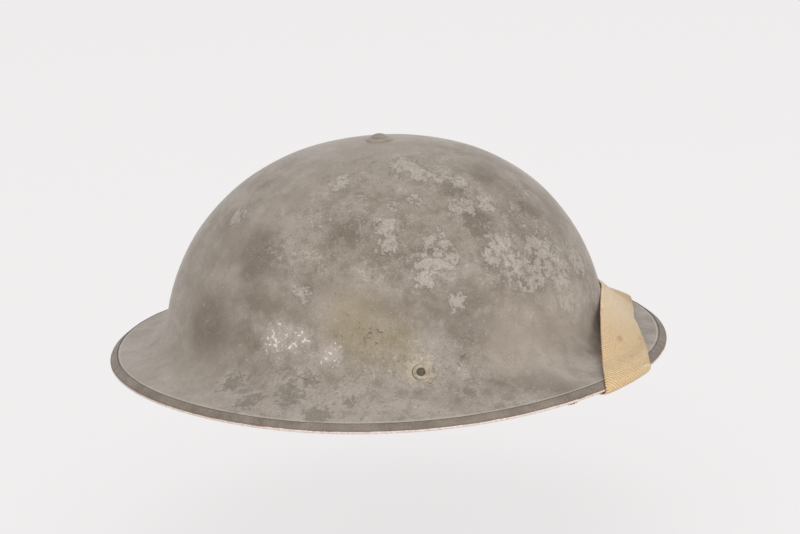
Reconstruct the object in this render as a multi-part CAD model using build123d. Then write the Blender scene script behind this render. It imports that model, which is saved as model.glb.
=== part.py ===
from build123d import *
from functools import lru_cache
import math
import os

# A broad-brimmed steel helmet. Millimetres, +Z up, front towards -X, the wearer's left towards -Y.
# The origin is the middle of the rim, on the plane under its lowest edge.

# Shell, overall sizes over the edging strip
rim_length = 310.0
rim_width = 292.6
rim_droop = 4.7
rim_roundness = 2.07
droop_sharpness = 3.9
brim_front = 30.3
brim_rear = 32.4
brim_side = 36.5
crown_front = rim_length / 2 - brim_front
crown_rear = rim_length / 2 - brim_rear
crown_side = rim_width / 2 - brim_side
crown_top = 121.4
front_roundness = 2.11
rear_roundness = 2.28
height_roundness = 2.17
side_fillet = 24.0
end_fillet = 20.0
side_slope_deg = 25.0
end_slope_deg = 5.0
lip_slope_deg = 38.0
wall = 1.1
ring_count = 26
meridian_count = 24
brim_share = 0.945
shell_steps = 60
lip_steps = 8
search_steps = 30
search_turns_deg = (40.0, 89.9)
tangent_turn = 1e-4
normal_turn = 1e-3
normal_slide = 4e-3
plan_search_deg = 20.0
angle_digits = 4

# Edging strip
strip_width = 4.5
strip_thickness = 0.4
strip_gap = 0.05
strip_joint = 0.5
strip_stations = 40
strip_turns_deg = (90, 45, 0, -45, -90)
strip_end_gap = 0.6
lip_length = strip_width + strip_end_gap
half_edge = wall / 2 + strip_gap
nose = half_edge + strip_thickness

# Crown fastening
screw_radius = 2.5
screw_clearance = 0.1
head_radius = 4.2
head_height = 2.0
slot_width = 1.2
slot_depth = 0.9
cup_radius = 7.6
cup_height = 1.4
spacer_radius = 19.0
spacer_height = 5.0
spacer_round = 1.5
washer_radius = 8.0
washer_height = 1.0
nut_across = 9.0
nut_height = 4.0
screw_overrun = 1.5
contact_gap = 0.05
soft_gap = 0.3

# Liner frame
liner_room_long = 23.6
liner_room_side = 29.8
hoop_half_length = crown_rear - liner_room_long
hoop_half_width = crown_side - liner_room_side
hoop_wall = 1.6
hoop_bottom = 24.7
hoop_height = 32.0
arm_width = 19.0
arm_thickness = 0.9
arm_foot = 3.5
arm_knee = 4.0
arm_flat = 10.0
arm_fullness = 1.3
arm_steps = 12
buffer_radius = 7.4
buffer_waist = 6.4
hoop_rivet_radius = 1.5
hoop_rivet_head = 2.8
hoop_rivet_head_height = 0.7
hoop_rivet_inset = 4.5
rivet_seat_gap = 0.1

# Lining
band_wall = 1.0
band_gap = 1.1
band_rise = 2.0
tongue_count = 8
tongue_foot_width = 52.0
tongue_tip_width = 11.0
tongue_wall = 1.0
tongue_inset = 4.0
tongue_stations = 6
tongue_look_ahead = 0.01
lace_half_length = 27.0
lace_half_width = 23.0
lace_drop = 27.0
lace_radius = 1.0
lace_oval_share = 0.14
hem_wall = 0.8
hem_bore = 1.9
knot_radius = 2.6
tail_length = 22.0
pad_radius = 30.0
pad_height = 9.5
pad_round = 3.0
pad_hole_gap = 1.5

# Chin strap fittings
rivet_x = 17.9
rivet_height = 21.3
rivet_radius = 2.9
rivet_head_radius = 4.6
rivet_head_height = 0.8
rivet_sink = 0.45
rivet_pit_radius = 2.3
rivet_pit_depth = 1.2
rivet_tail_radius = 4.4
rivet_tail_height = 1.2
lug_width = 15.0
lug_heel = 7.0
lug_reach = 10.5
lug_thickness = 1.5
lug_stand = 0.5
wire_radius = 1.5
wire_fit = 0.05
knuckle_wall = 1.2
loop_reach = 11.0
loop_corner = 2.2
loop_rest_deg = 38.0

# Chin strap
strap_width = 26.0
strap_thickness = 1.6
strap_side_gap = 0.6
layer_gap = 0.3
cross_front_deg = 43.5
cross_rear_deg = 26.0
strap_rows = 5
fold_gap = 0.7
lean_height = 34.0
lean_deg = 49.0
lean_ease = 1.4
lean_gap = 0.7
top_sections = 9
top_crowding = 1.5
twist_start = 5.0
twist_end = 27.0
stitched_tail = 24.0
running_tail = 62.0
slide_length = 13.0
slide_wall = 0.9
slide_gap = 0.3
slide_place = 46.0
slide_ridge = 1.6
slide_ridge_share = 0.8
under_steps = 6
fold_turns_deg = (-90, -50, 0, 50, 90)
tip_length = 12.0

low_align = (Align.CENTER, Align.CENTER, Align.MIN)


def signed_power(value, power):
    return math.copysign(abs(value) ** power, value)


def mix(first, second, share):
    return first + (second - first) * share


def smooth(share):
    share = min(1, max(0, share))
    return share * share * (3 - 2 * share)


def rim_middle(angle):
    """Middle of the shell's edge: a superellipse in plan that droops at the two sides."""
    across, along = math.sin(angle), math.cos(angle)
    x = (rim_length / 2 - nose) * signed_power(along, 2 / rim_roundness)
    y = (rim_width / 2 - nose) * signed_power(across, 2 / rim_roundness)
    return Vector(x, y, nose + rim_droop * (1 - abs(across) ** droop_sharpness))


def crown_foot(angle):
    reach = crown_rear if math.cos(angle) > 0 else crown_front
    return Vector(reach * math.cos(angle), crown_side * math.sin(angle), 0)


def crown_wall(angle, turn):
    """Distance from the crown's axis as a share of the foot's, and height, at a turn from the top."""
    side_roundness = (front_roundness + rear_roundness) / 2
    end_roundness = rear_roundness if math.cos(angle) > 0 else front_roundness
    roundness = mix(side_roundness, end_roundness, math.cos(angle) ** 2)
    return math.sin(turn) ** (2 / roundness), crown_top * math.cos(turn) ** (2 / height_roundness)


def brim_slope(angle):
    return math.radians(mix(end_slope_deg, side_slope_deg, math.sin(angle) ** 2))


def slope_frame(flat, slope):
    """Outward direction and upward normal of a surface that falls outwards at a slope."""
    rise = Vector(0, 0, 1)
    return flat * math.cos(slope) - rise * math.sin(slope), flat * math.sin(slope) + rise * math.cos(slope)


def brim_flat(angle):
    """Distance and level direction from the crown's foot to the middle of the edge."""
    middle, foot = rim_middle(angle), crown_foot(angle)
    flat = Vector(middle.X - foot.X, middle.Y - foot.Y, 0)
    return flat.length, flat.normalized()


def edge_frame(angle):
    """Middle of the edge, the turned-down lip's outward direction and its upward normal."""
    outward, normal = slope_frame(brim_flat(angle)[1], math.radians(lip_slope_deg))
    return rim_middle(angle), outward, normal


def edge_point(angle, depth):
    middle, _, normal = edge_frame(angle)
    return middle + normal * (wall / 2 - depth)


def crease_point(angle, depth=0.0):
    """Where the brim turns down into the lip, at a depth inside the outer face."""
    middle, outward, normal = edge_frame(angle)
    brim_normal = slope_frame(brim_flat(angle)[1], brim_slope(angle))[1]
    mitre = (normal + brim_normal) / (1 + normal.dot(brim_normal))
    return middle + normal * (wall / 2) - outward * lip_length - mitre * depth


def fillet_seat(wall_at, edge_run, edge_height, slope, radius):
    """Turn on the crown wall where an arc of this radius runs on into the brim's line."""
    low, high = [math.radians(turn) for turn in search_turns_deg]
    for _ in range(search_steps):
        turn = (low + high) / 2
        before, after = wall_at(turn - tangent_turn), wall_at(turn + tangent_turn)
        tangent = Vector(after[0] - before[0], after[1] - before[1], 0).normalized()
        here = wall_at(turn)
        centre = (here[0] - radius * tangent.Y, here[1] + radius * tangent.X)
        line_height = edge_height + (edge_run - centre[0]) * math.tan(slope)
        if (centre[1] - line_height) * math.cos(slope) > radius:
            low = turn
        else:
            high = turn
    start = math.atan2(-tangent.X, tangent.Y)
    return turn, centre, start


@lru_cache(maxsize=None)
def shell_line(angle, parts=shell_steps):
    """Outer profile at one angle, top to crease: crown, concave fillet, straight brim."""
    foot, crease = crown_foot(angle), crease_point(angle)
    flat = brim_flat(angle)[1]
    slope = brim_slope(angle)
    radius = mix(end_fillet, side_fillet, math.sin(angle) ** 2)
    edge_run = Vector(crease.X - foot.X, crease.Y - foot.Y, 0).length
    edge_height = crease.Z

    def wall_at(turn):
        share, height = crown_wall(angle, turn)
        return (share - 1) * foot.length, height

    turn_end, centre, start = fillet_seat(wall_at, edge_run, edge_height, slope, radius)
    half_way = math.pi / 4
    share_power = math.log(crown_wall(angle, half_way)[0]) / math.log(math.sin(half_way))
    hole_share = (screw_radius + screw_clearance) / foot.length
    turn_start = math.asin(hole_share ** (1 / share_power))
    line = []
    for step in range(2 * parts + 1):
        share, height = crown_wall(angle, mix(turn_start, turn_end, step / (2 * parts)))
        line.append(foot * share + Vector(0, 0, height))
    finish = -math.pi / 2 - slope
    if start > 0:
        start -= 2 * math.pi
    for step in range(1, parts + 1):
        turn = mix(start, finish, step / parts)
        run = centre[0] + radius * math.cos(turn)
        line.append(foot + flat * run + Vector(0, 0, centre[1] + radius * math.sin(turn)))
    for step in range(1, parts + 1):
        place = mix(run, edge_run, step / parts)
        height = edge_height + (edge_run - place) * math.tan(slope)
        line.append(foot + flat * place + Vector(0, 0, height))
    lengths = [0.0]
    for before, after in zip(line, line[1:]):
        lengths.append(lengths[-1] + (after - before).length)
    return line, lengths


def outer_point(angle, share):
    line, lengths = shell_line(angle)
    target = share * lengths[-1]
    index = 1
    while index < len(line) - 1 and lengths[index] < target:
        index += 1
    local = (target - lengths[index - 1]) / (lengths[index] - lengths[index - 1])
    return line[index - 1] + (line[index] - line[index - 1]) * local


def outer_normal(angle, share):
    across = outer_point(angle + normal_turn, share) - outer_point(angle - normal_turn, share)
    above, below = max(0, share - normal_slide), min(1, share + normal_slide)
    down = outer_point(angle, below) - outer_point(angle, above)
    return down.cross(across).normalized()


def shell_point(angle, share, depth=0.0):
    """Point at a depth inside the outer face."""
    if share == 1:
        return crease_point(angle, depth)
    return outer_point(angle, share) - outer_normal(angle, share) * depth


def share_at_height(angle, height, depth=0.0):
    """Share of the profile where the face at this depth passes a height on the crown wall or fillet."""
    low, high = 0.0, 1.0
    for _ in range(search_steps):
        share = (low + high) / 2
        if shell_point(angle, share, depth).Z > height:
            low = share
        else:
            high = share
    return low


def wall_reach(angle, height, depth):
    point = shell_point(angle, share_at_height(angle, height, depth), depth)
    return math.hypot(point.X, point.Y)


def top_height(x, y):
    """Height of the shell's outer face over a point in plan, outside the crown's top."""
    reach = math.radians(plan_search_deg)
    low, high = math.atan2(y, x) - reach, math.atan2(y, x) + reach
    lip_shares = [step / lip_steps for step in range(lip_steps + 1)]
    for _ in range(search_steps):
        angle = round((low + high) / 2, angle_digits)
        lip = [mix(crease_point(angle), edge_point(angle, 0), share) for share in lip_shares]
        line = shell_line(angle)[0] + lip
        place = min(line, key=lambda point: (point.X - x) ** 2 + (point.Y - y) ** 2)
        if place.X * y - place.Y * x > 0:
            low = angle
        else:
            high = angle
    return place.Z


def ring_edge(points, closed=True):
    """Smooth curve through points, with even parameters so that neighbours pair up."""
    count = len(points) if closed else len(points) - 1
    shares = [index / count for index in range(count + 1)]
    return Edge.make_spline(points, parameters=shares, periodic=closed)


def shell_face(depth):
    """One face of the shell: a smooth crown and fillet, then the brim and its lip ruled straight."""
    angles = [2 * math.pi * index / meridian_count for index in range(meridian_count)]
    rings = []
    for share in [brim_share * index / (ring_count - 1) for index in range(ring_count)] + [1]:
        rings.append(Wire([ring_edge([shell_point(angle, share, depth) for angle in angles])]))
    rings.append(Wire([ring_edge([edge_point(angle, depth) for angle in angles])]))
    faces = Shell.make_loft(rings[:-2]).faces()
    for inner, outer in (rings[-3:-1], rings[-2:]):
        faces += Face.make_surface_from_curves(inner, outer).faces()
    return rings, faces


@lru_cache(maxsize=None)
def rivet_frame(side):
    """Plane on the outer face at a strap rivet: x to the rear, z outwards. side is -1 or 1."""
    angle = side * math.acos(rivet_x / crown_rear)
    for _ in range(search_steps):
        point = outer_point(angle, share_at_height(angle, rivet_height))
        angle += side * (point.X - rivet_x) / crown_rear
    normal = outer_normal(angle, share_at_height(angle, rivet_height))
    rearward = Vector(normal.Y, -normal.X, 0) * side
    return Plane(origin=point, x_dir=rearward.normalized() * (1 if rearward.X > 0 else -1), z_dir=normal)


def make_shell():
    outer_rings, outer = shell_face(0.0)
    inner_rings, inner = shell_face(wall)
    mouth = Face.make_surface_from_curves(outer_rings[0], inner_rings[0])
    edge = Face.make_surface_from_curves(outer_rings[-1], inner_rings[-1])
    body = Solid(Shell([*outer, *inner, *mouth.faces(), *edge.faces()]))
    hole = Cylinder(rivet_radius + contact_gap, 4 * wall)
    sink = Cylinder(rivet_head_radius + contact_gap, 4 * wall, align=low_align)
    for side in (-1, 1):
        body -= rivet_frame(side) * (hole + Pos(0, 0, -rivet_sink) * sink)
    return body


def make_rim_strip():
    """Sheet strip folded round the edge, butted at the rear."""
    joint = strip_joint / rim_length
    shares = [index / strip_stations for index in range(strip_stations + 1)]
    angles = [mix(joint, 2 * math.pi - joint, share) for share in shares]
    turns = [math.radians(turn) for turn in strip_turns_deg]
    section = [(-strip_width, nose)] + [(nose * math.cos(t), nose * math.sin(t)) for t in turns]
    section += [(-strip_width, -nose), (-strip_width, -half_edge)]
    section += [(half_edge * math.cos(t), half_edge * math.sin(t)) for t in reversed(turns)]
    section += [(-strip_width, half_edge)]
    frames = [edge_frame(angle) for angle in angles]
    curves, ends = [], ([], [])
    for along, up in section:
        points = [middle + outward * along + normal * up for middle, outward, normal in frames]
        curves.append(ring_edge(points, closed=False))
        ends[0].append(points[0])
        ends[1].append(points[-1])
    faces = []
    for before, after in zip(curves, curves[1:] + curves[:1]):
        faces.append(Face.make_surface_from_curves(before, after))
    faces += [Face(Wire.make_polygon(points)) for points in ends]
    return Solid(Shell(faces))


def turned(points):
    """Solid of revolution about Z from (radius, height) points."""
    outline = Polyline(*[(radius, 0, height) for radius, height in points], close=True)
    return revolve(make_face(outline), Axis.Z)


crown_inside = crown_top - wall
spacer_bottom = crown_inside - contact_gap - spacer_height
long_arm_top = spacer_bottom
cross_arm_top = long_arm_top - arm_thickness
stack_bottom = cross_arm_top - arm_thickness
nut_top = stack_bottom - washer_height
nut_bottom = nut_top - nut_height
cup_top = crown_top + contact_gap + cup_height


def make_crown_screw():
    """Slotted round head over the cup, and a shank down to the nut."""
    bottom = nut_bottom - screw_overrun
    shank = Pos(0, 0, bottom) * Cylinder(screw_radius, cup_top - bottom, align=low_align)
    head = Pos(0, 0, cup_top) * Cylinder(head_radius, head_height, align=low_align)
    head = fillet(head.edges().sort_by(Axis.Z)[-1], head_height / 3)
    slot = Pos(0, 0, cup_top + head_height) * Box(3 * head_radius, slot_width, 2 * slot_depth)
    return shank + head - slot


def make_crown_cup():
    """Pressed outer washer, domed."""
    hole = screw_radius + screw_clearance
    base = crown_top + contact_gap
    shoulder = head_radius + (cup_radius - head_radius) / 3
    skirt_top = base + cup_height / 3
    skirt = [(hole, base), (cup_radius, base), (cup_radius, skirt_top)]
    return turned(skirt + [(shoulder, cup_top), (hole, cup_top)])


def make_crown_spacer():
    """Rubber disc between the shell and the liner arms, sunk a little to follow the dome."""
    hole = screw_radius + screw_clearance
    height = spacer_height - dome_drop(spacer_radius) - contact_gap
    disc = fillet(Cylinder(spacer_radius, height, align=low_align).edges(), spacer_round)
    boss = Cylinder(washer_radius, spacer_height - dome_drop(washer_radius), align=low_align)
    return Pos(0, 0, spacer_bottom) * (disc + boss - Cylinder(hole, 3 * spacer_height))


def dome_drop(radius):
    """Fall of the shell's inner face from the middle to a radius, on its steepest side."""
    line = shell_line(math.pi / 2)[0]
    place = min(line, key=lambda point: abs(math.hypot(point.X, point.Y) - radius))
    return crown_top - place.Z


def make_crown_washer():
    disc = Cylinder(washer_radius, washer_height, align=low_align)
    hole = Cylinder(screw_radius + screw_clearance, 3 * washer_height)
    return Pos(0, 0, stack_bottom - washer_height) * (disc - hole)


def make_crown_nut():
    body = extrude(RegularPolygon(nut_across / 2, 6, major_radius=False), nut_height)
    return Pos(0, 0, nut_bottom) * body - Pos(0, 0, nut_bottom) * Cylinder(screw_radius, 3 * nut_height)


def arm_curve(half_span, top, inset):
    """One side of an arm's arch, foot to crown, this far inside its outer face."""
    knee = hoop_bottom + hoop_height + arm_knee
    span, rise = half_span - inset, top - inset - knee
    points = [(span, hoop_bottom + arm_foot)]
    for step in range(arm_steps + 1):
        turn = math.pi / 2 * step / arm_steps
        reach = arm_flat + (span - arm_flat) * max(0, math.cos(turn)) ** arm_fullness
        points.append((reach, knee + rise * math.sin(turn)))
    return points


def make_arm(half_span, top, hole_heights, plane):
    """Steel strap bent to an arch, holed for the crown screw and the hoop rivets."""
    outer, inner = arm_curve(half_span, top, 0.0), arm_curve(half_span, top, arm_thickness)
    edges = []
    for line in (outer, inner):
        for side in (-1, 1):
            half = [Vector(side * x, z) for x, z in line]
            edges += [Edge.make_line(half[0], half[1]), Edge.make_spline(half[1:])]
        edges.append(Edge.make_line((-line[-1][0], line[-1][1]), line[-1]))
    edges.append(Edge.make_line(outer[0], inner[0]))
    edges.append(Edge.make_line((-outer[0][0], outer[0][1]), (-inner[0][0], inner[0][1])))
    face = Face(Wire(Wire.combine(edges)[0].edges()))
    body = plane * extrude(face, arm_width / 2, both=True)
    body -= Pos(0, 0, top) * Cylinder(screw_radius + screw_clearance, 8 * arm_thickness)
    for height in hole_heights:
        body -= plane * Pos(0, height, 0) * Rot(0, 90, 0) * Cylinder(hoop_rivet_radius, 3 * half_span)
    return body


long_half_span = hoop_half_length + hoop_wall + contact_gap + arm_thickness
cross_half_span = hoop_half_width + hoop_wall + contact_gap + arm_thickness
hoop_rivet_heights = (
    hoop_bottom + arm_foot + hoop_rivet_inset,
    hoop_bottom + hoop_height - hoop_rivet_inset + arm_foot / 2,
)
buffer_height = (hoop_rivet_heights[0] + hoop_rivet_heights[1]) / 2
long_plane = Plane(origin=(0, 0, 0), x_dir=(1, 0, 0), z_dir=(0, -1, 0))
cross_plane = Plane(origin=(0, 0, 0), x_dir=(0, 1, 0), z_dir=(1, 0, 0))


def oval_ring(half_length, half_width, thickness, bottom, height):
    outer = Ellipse(half_length + thickness, half_width + thickness)
    return Pos(0, 0, bottom) * extrude(outer - Ellipse(half_length, half_width), height)


def make_head_hoop():
    body = oval_ring(hoop_half_length, hoop_half_width, hoop_wall, hoop_bottom, hoop_height)
    for height in hoop_rivet_heights:
        body -= Pos(0, 0, height) * Rot(0, 90, 0) * Cylinder(hoop_rivet_radius, 4 * hoop_half_length)
        body -= Pos(0, 0, height) * Rot(90, 0, 0) * Cylinder(hoop_rivet_radius, 4 * hoop_half_width)
    return body


def hoop_places():
    """Outward direction, arm's outer face and hoop's inner face at the four arm feet."""
    return {
        "front": (Vector(-1, 0, 0), long_half_span, hoop_half_length),
        "rear": (Vector(1, 0, 0), long_half_span, hoop_half_length),
        "left": (Vector(0, -1, 0), cross_half_span, hoop_half_width),
        "right": (Vector(0, 1, 0), cross_half_span, hoop_half_width),
    }


def make_hoop_rivets():
    """Eight tubular rivets, two at each arm foot."""
    rivets = []
    for outward, arm_face, hoop_face in hoop_places().values():
        for height in hoop_rivet_heights:
            seat = hoop_face - rivet_seat_gap - hoop_rivet_head_height
            plane = Plane(origin=outward * seat + Vector(0, 0, height), z_dir=outward)
            grip = arm_face - hoop_face + rivet_seat_gap
            head = Cylinder(hoop_rivet_head, hoop_rivet_head_height, align=low_align)
            shank = Cylinder(hoop_rivet_radius, grip + 2 * hoop_rivet_head_height, align=low_align)
            far = Pos(0, 0, hoop_rivet_head_height + grip) * head
            rivets.append(plane * (head + shank + far))
    return Compound(children=rivets)


def make_buffer(outward, arm_face):
    """Rubber bump stop from an arm's foot to just short of the shell."""
    angle = math.atan2(outward.Y, outward.X)
    reach = wall_reach(angle, buffer_height + buffer_waist / 2, wall) - arm_face - soft_gap
    crown = reach - buffer_waist / 3
    outline = Polyline(
        (0, 0, 0), (buffer_radius, 0, 0), (buffer_radius, 0, reach / 5), (buffer_waist, 0, reach / 3),
        (buffer_waist, 0, crown), (buffer_waist / 2, 0, reach), (0, 0, reach), close=True,
    )
    body = revolve(make_face(outline), Axis.Z)
    return Plane(origin=outward * arm_face + Vector(0, 0, buffer_height), z_dir=outward) * body


band_half_length = hoop_half_length - band_gap - band_wall
band_half_width = hoop_half_width - band_gap - band_wall
band_bottom = hoop_bottom - soft_gap - band_wall
band_top = hoop_bottom + hoop_height + band_rise


def make_sweatband():
    """Oilcloth band inside the hoop, its foot turned out under the hoop."""
    band = oval_ring(band_half_length, band_half_width, band_wall, band_bottom, band_top - band_bottom)
    foot_width = band_gap + band_wall + hoop_wall
    return band + oval_ring(band_half_length, band_half_width, foot_width, band_bottom, band_wall)


lace_height = spacer_bottom - lace_drop + lace_radius


def tongue_place(angle, share):
    """Point on the lining's dome and its outward normal, from the band to the lace."""
    turn = math.pi / 2 * share
    foot = band_top + soft_gap
    half_length = mix(lace_half_length, band_half_length - tongue_inset, math.cos(turn))
    half_width = mix(lace_half_width, band_half_width - tongue_inset, math.cos(turn))
    height = mix(foot, lace_height, math.sin(turn))
    return Vector(half_length * math.cos(angle), half_width * math.sin(angle), height)


def tongue_frame(angle):
    return (tongue_place(angle + normal_turn, 1) - tongue_place(angle - normal_turn, 1)).normalized()


def make_tongue(index):
    """Oilcloth tongue with a hem at its tip for the lace."""
    angle = 2 * math.pi * (index + 0.5) / tongue_count
    sections = []
    across = tongue_frame(angle)
    for station in range(tongue_stations + 1):
        share = station / tongue_stations
        here = tongue_place(angle, share)
        ahead = tongue_place(angle, share + tongue_look_ahead)
        run = (ahead - here).normalized()
        normal = across.cross(run).normalized() * (tongue_wall / 2)
        half = across * (mix(tongue_foot_width, tongue_tip_width, share) / 2)
        corners = [here - half - normal, here + half - normal, here + half + normal, here - half + normal]
        sections.append(Wire.make_polygon(corners))
    body = Solid.make_loft(sections, ruled=True)
    tip = Plane(origin=tongue_place(angle, 1), z_dir=across)
    body += tip * Cylinder(hem_bore + hem_wall, tongue_tip_width)
    return body - tip * Cylinder(hem_bore, 3 * tongue_tip_width)


def lace_arcs():
    """Four tangent arcs that follow the lining's oval: tight at the ends, flat at the sides."""
    tight = mix(lace_half_width**2 / lace_half_length, lace_half_length**2 / lace_half_width, lace_oval_share)
    shift = lace_half_length - tight
    wide = (tight**2 - lace_half_width**2 - shift**2) / (2 * (tight - lace_half_width))
    drop = wide - lace_half_width
    turn = math.degrees(math.atan2(drop, shift))
    arcs = []
    for x, y, radius, middle, reach in (
        (shift, 0, tight, 0, turn), (0, -drop, wide, 90, 90 - turn),
        (-shift, 0, tight, 180, turn), (0, drop, wide, 270, 90 - turn),
    ):
        plane = Plane(origin=(x, y, lace_height))
        arcs.append(Edge.make_circle(radius, plane, middle - reach, middle + reach))
    return arcs


def make_lace():
    """Drawstring through the tongues' hems, knotted at the rear with two ends."""
    knot_place = Vector(lace_half_length, 0, lace_height)
    body = Pos(*knot_place) * Sphere(knot_radius)
    for path in lace_arcs():
        start = Plane(origin=path @ 0, z_dir=path % 0)
        body += sweep(start * Circle(lace_radius), path=path)
    for side in (-1, 1):
        lean = Vector(-tail_length, side * tail_length / 3, tail_length / 4)
        plane = Plane(origin=knot_place, z_dir=lean)
        body += plane * Cylinder(lace_radius, tail_length, align=low_align)
    return body


def make_crown_pad():
    """Felt pad under the crossing of the arms, hollow over the nut."""
    hole = washer_radius + pad_hole_gap
    knee = hoop_bottom + hoop_height + arm_knee
    rise = cross_arm_top - arm_thickness - knee
    span = cross_half_span - arm_thickness

    def under_arm(radius):
        return knee + rise * math.sqrt(1 - (radius / span) ** 2) - soft_gap

    edge_top = under_arm(pad_radius)
    bottom = edge_top - pad_height
    rim = pad_radius - pad_round
    middle = (hole + rim) / 2
    with BuildSketch(Plane.XZ) as section:
        with BuildLine():
            Line((hole, bottom), (rim, bottom))
            ThreePointArc((rim, bottom), (pad_radius, (bottom + edge_top) / 2), (rim, edge_top))
            ThreePointArc((rim, edge_top), (middle, under_arm(middle)), (hole, under_arm(hole)))
            Line((hole, under_arm(hole)), (hole, bottom))
        make_face()
    return revolve(section.sketch, Axis.Z)


lug_seat = wall + lug_stand
knuckle_radius = wire_radius + wire_fit + knuckle_wall
knuckle_depth = lug_seat + knuckle_radius


def make_lug_rivet(side):
    """Flush pitted head outside, shank, and a closed head under the lug."""
    tail_top = -(lug_seat + lug_thickness + contact_gap)
    seat = contact_gap - rivet_sink
    head = Pos(0, 0, seat) * Cylinder(rivet_head_radius, rivet_head_height, align=low_align)
    top = seat + rivet_head_height
    shank = Pos(0, 0, tail_top) * Cylinder(rivet_radius, -tail_top, align=low_align)
    tail = Cylinder(rivet_tail_radius, rivet_tail_height, align=low_align)
    tail = Pos(0, 0, tail_top - rivet_tail_height) * tail
    pit = Pos(0, 0, top) * Cylinder(rivet_pit_radius, 2 * rivet_pit_depth)
    return rivet_frame(side) * (head + shank + tail - pit)


def make_lug(side):
    """Steel plate under the shell, its end rolled into a knuckle for the wire loop."""
    plate = Pos((lug_reach - lug_heel) / 2, 0, -lug_seat - lug_thickness / 2) * Box(
        lug_reach + lug_heel, lug_width, lug_thickness
    )
    corner = lug_heel / 2
    plate = fillet(plate.edges().filter_by(Axis.Z).sort_by(Axis.X)[:2], corner)
    knuckle = Pos(lug_reach, 0, -knuckle_depth) * Rot(90, 0, 0)
    plate += knuckle * Cylinder(knuckle_radius, lug_width)
    plate -= knuckle * Cylinder(wire_radius + wire_fit, 2 * lug_width)
    plate -= Cylinder(rivet_radius + contact_gap, 8 * lug_thickness)
    return rivet_frame(side) * plate


def loop_plane(side):
    """Plane of the wire loop: origin on the hinge axis, x towards the strap, y along the wire."""
    frame = rivet_frame(side)
    rest = math.radians(loop_rest_deg)
    origin = frame.origin + frame.x_dir * lug_reach - frame.z_dir * knuckle_depth
    towards = frame.x_dir * math.cos(rest) - frame.z_dir * math.sin(rest)
    normal = frame.z_dir * math.cos(rest) + frame.x_dir * math.sin(rest)
    return Plane(origin=origin, x_dir=towards, z_dir=normal)


loop_half_width = strap_width / 2 + strap_side_gap + wire_radius


def make_strap_loop(side):
    """Closed rectangle of round wire."""
    corners = [(0, 1), (1, 1), (1, -1), (0, -1)]
    with BuildLine() as path:
        FilletPolyline(
            *[(along * loop_reach, across * loop_half_width) for along, across in corners],
            radius=loop_corner, close=True,
        )
    wire = path.wires()[0]
    start = Plane(origin=wire @ 0, z_dir=wire % 0)
    return loop_plane(side) * sweep(start * Circle(wire_radius), path=wire)


def fold_frames(side):
    """Edge frames where the strap crosses the rim, from its front selvedge to its rear one."""
    turns = [mix(cross_front_deg, cross_rear_deg, row / (strap_rows - 1)) for row in range(strap_rows)]
    return [edge_frame(side * math.radians(turn)) for turn in turns]


def strap_run(side):
    """Start on the loop's far bar, direction, length and selvedge ends of the run under the brim."""
    plane = loop_plane(side)
    bar = plane.origin + plane.x_dir * loop_reach
    under = nose + fold_gap + strap_thickness + layer_gap / 2
    ends = [middle - normal * under for middle, _, normal in fold_frames(side)]
    target = (ends[0] + ends[-1]) / 2
    return bar, (target - bar).normalized(), (target - bar).length, ends


def under_frame(side, distance):
    """Middle, width direction and normal of the run under the brim: it untwists from the loop."""
    bar, run, _, ends = strap_run(side)
    plane = loop_plane(side)
    bar_width = plane.y_dir * (1 if plane.y_dir.dot(Vector(0, side, 0)) > 0 else -1)
    flat = (ends[0] - ends[-1]).normalized()
    flat = (flat - run * flat.dot(run)).normalized()
    share = smooth((distance - twist_start) / (twist_end - twist_start))
    bar_width = (bar_width - run * bar_width.dot(run)).normalized()
    width = (bar_width * (1 - share) + flat * share).normalized()
    normal = run.cross(width).normalized()
    if normal.Z < 0:
        normal = -normal
    return bar + run * distance, width, normal


def section(points, normals):
    """Closed outline of the strap across its width, through points on its middle surface."""
    halves = [normal.normalized() * (strap_thickness / 2) for normal in normals]
    under = [point - half for point, half in zip(points, halves)]
    over = [point + half for point, half in zip(points, halves)]
    return Wire.make_polygon(under + over[::-1])


def under_sections(side, start, finish, offset, steps):
    wires = []
    for step in range(steps + 1):
        middle, width, normal = under_frame(side, mix(start, finish, step / steps))
        middle = middle + normal * offset
        half = width * (strap_width / 2)
        points = [mix(middle + half, middle - half, row / (strap_rows - 1)) for row in range(strap_rows)]
        wires.append(section(points, [normal] * strap_rows))
    return wires


def fold_sections(side):
    """The turn over the rim, from under the brim to its top."""
    wires = []
    radius = nose + fold_gap + strap_thickness / 2
    for turn_deg in fold_turns_deg:
        turn = math.radians(turn_deg)
        points, ways = [], []
        for middle, outward, normal in fold_frames(side):
            ways.append(outward * math.cos(turn) + normal * math.sin(turn))
            points.append(middle + ways[-1] * radius)
        wires.append(section(points, ways))
    return wires


def lean_points():
    """Row from the front selvedge to the rear one, where the strap leans on the rear of the crown."""
    lean = math.radians(lean_deg)
    reach = wall_reach(0.0, lean_height, 0.0) + lean_gap + strap_thickness / 2 * math.sin(lean)
    front = Vector(reach, 0, lean_height)
    rear = front + Vector(math.cos(lean), 0, -math.sin(lean)) * strap_width
    return [mix(front, rear, row / (strap_rows - 1)) for row in range(strap_rows)]


def top_section(side, share):
    """Section over the brim, from the rim at 0 to the middle of the rear at 1, eased where it leans."""
    radius = nose + fold_gap + strap_thickness / 2
    ease = math.sin(math.pi / 2 * share)
    clear = nose - wall / 2 + soft_gap + strap_thickness / 2 / math.cos(math.radians(lean_deg))
    points = []
    for frame, end in zip(fold_frames(side), lean_points()):
        start = frame[0] + frame[2] * radius
        x = mix(start.X, end.X, share**lean_ease)
        place = Vector(x, mix(start.Y, end.Y, share), mix(start.Z, end.Z, ease))
        place.Z = max(place.Z, top_height(place.X, place.Y) + clear)
        points.append(place)
    normals = []
    for row in range(strap_rows):
        across = points[min(row + 1, strap_rows - 1)] - points[max(row - 1, 0)]
        normal = across.cross(Vector(0, 1, 0))
        normals.append(normal if normal.Z > 0 else -normal)
    return section(points, normals)


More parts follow.
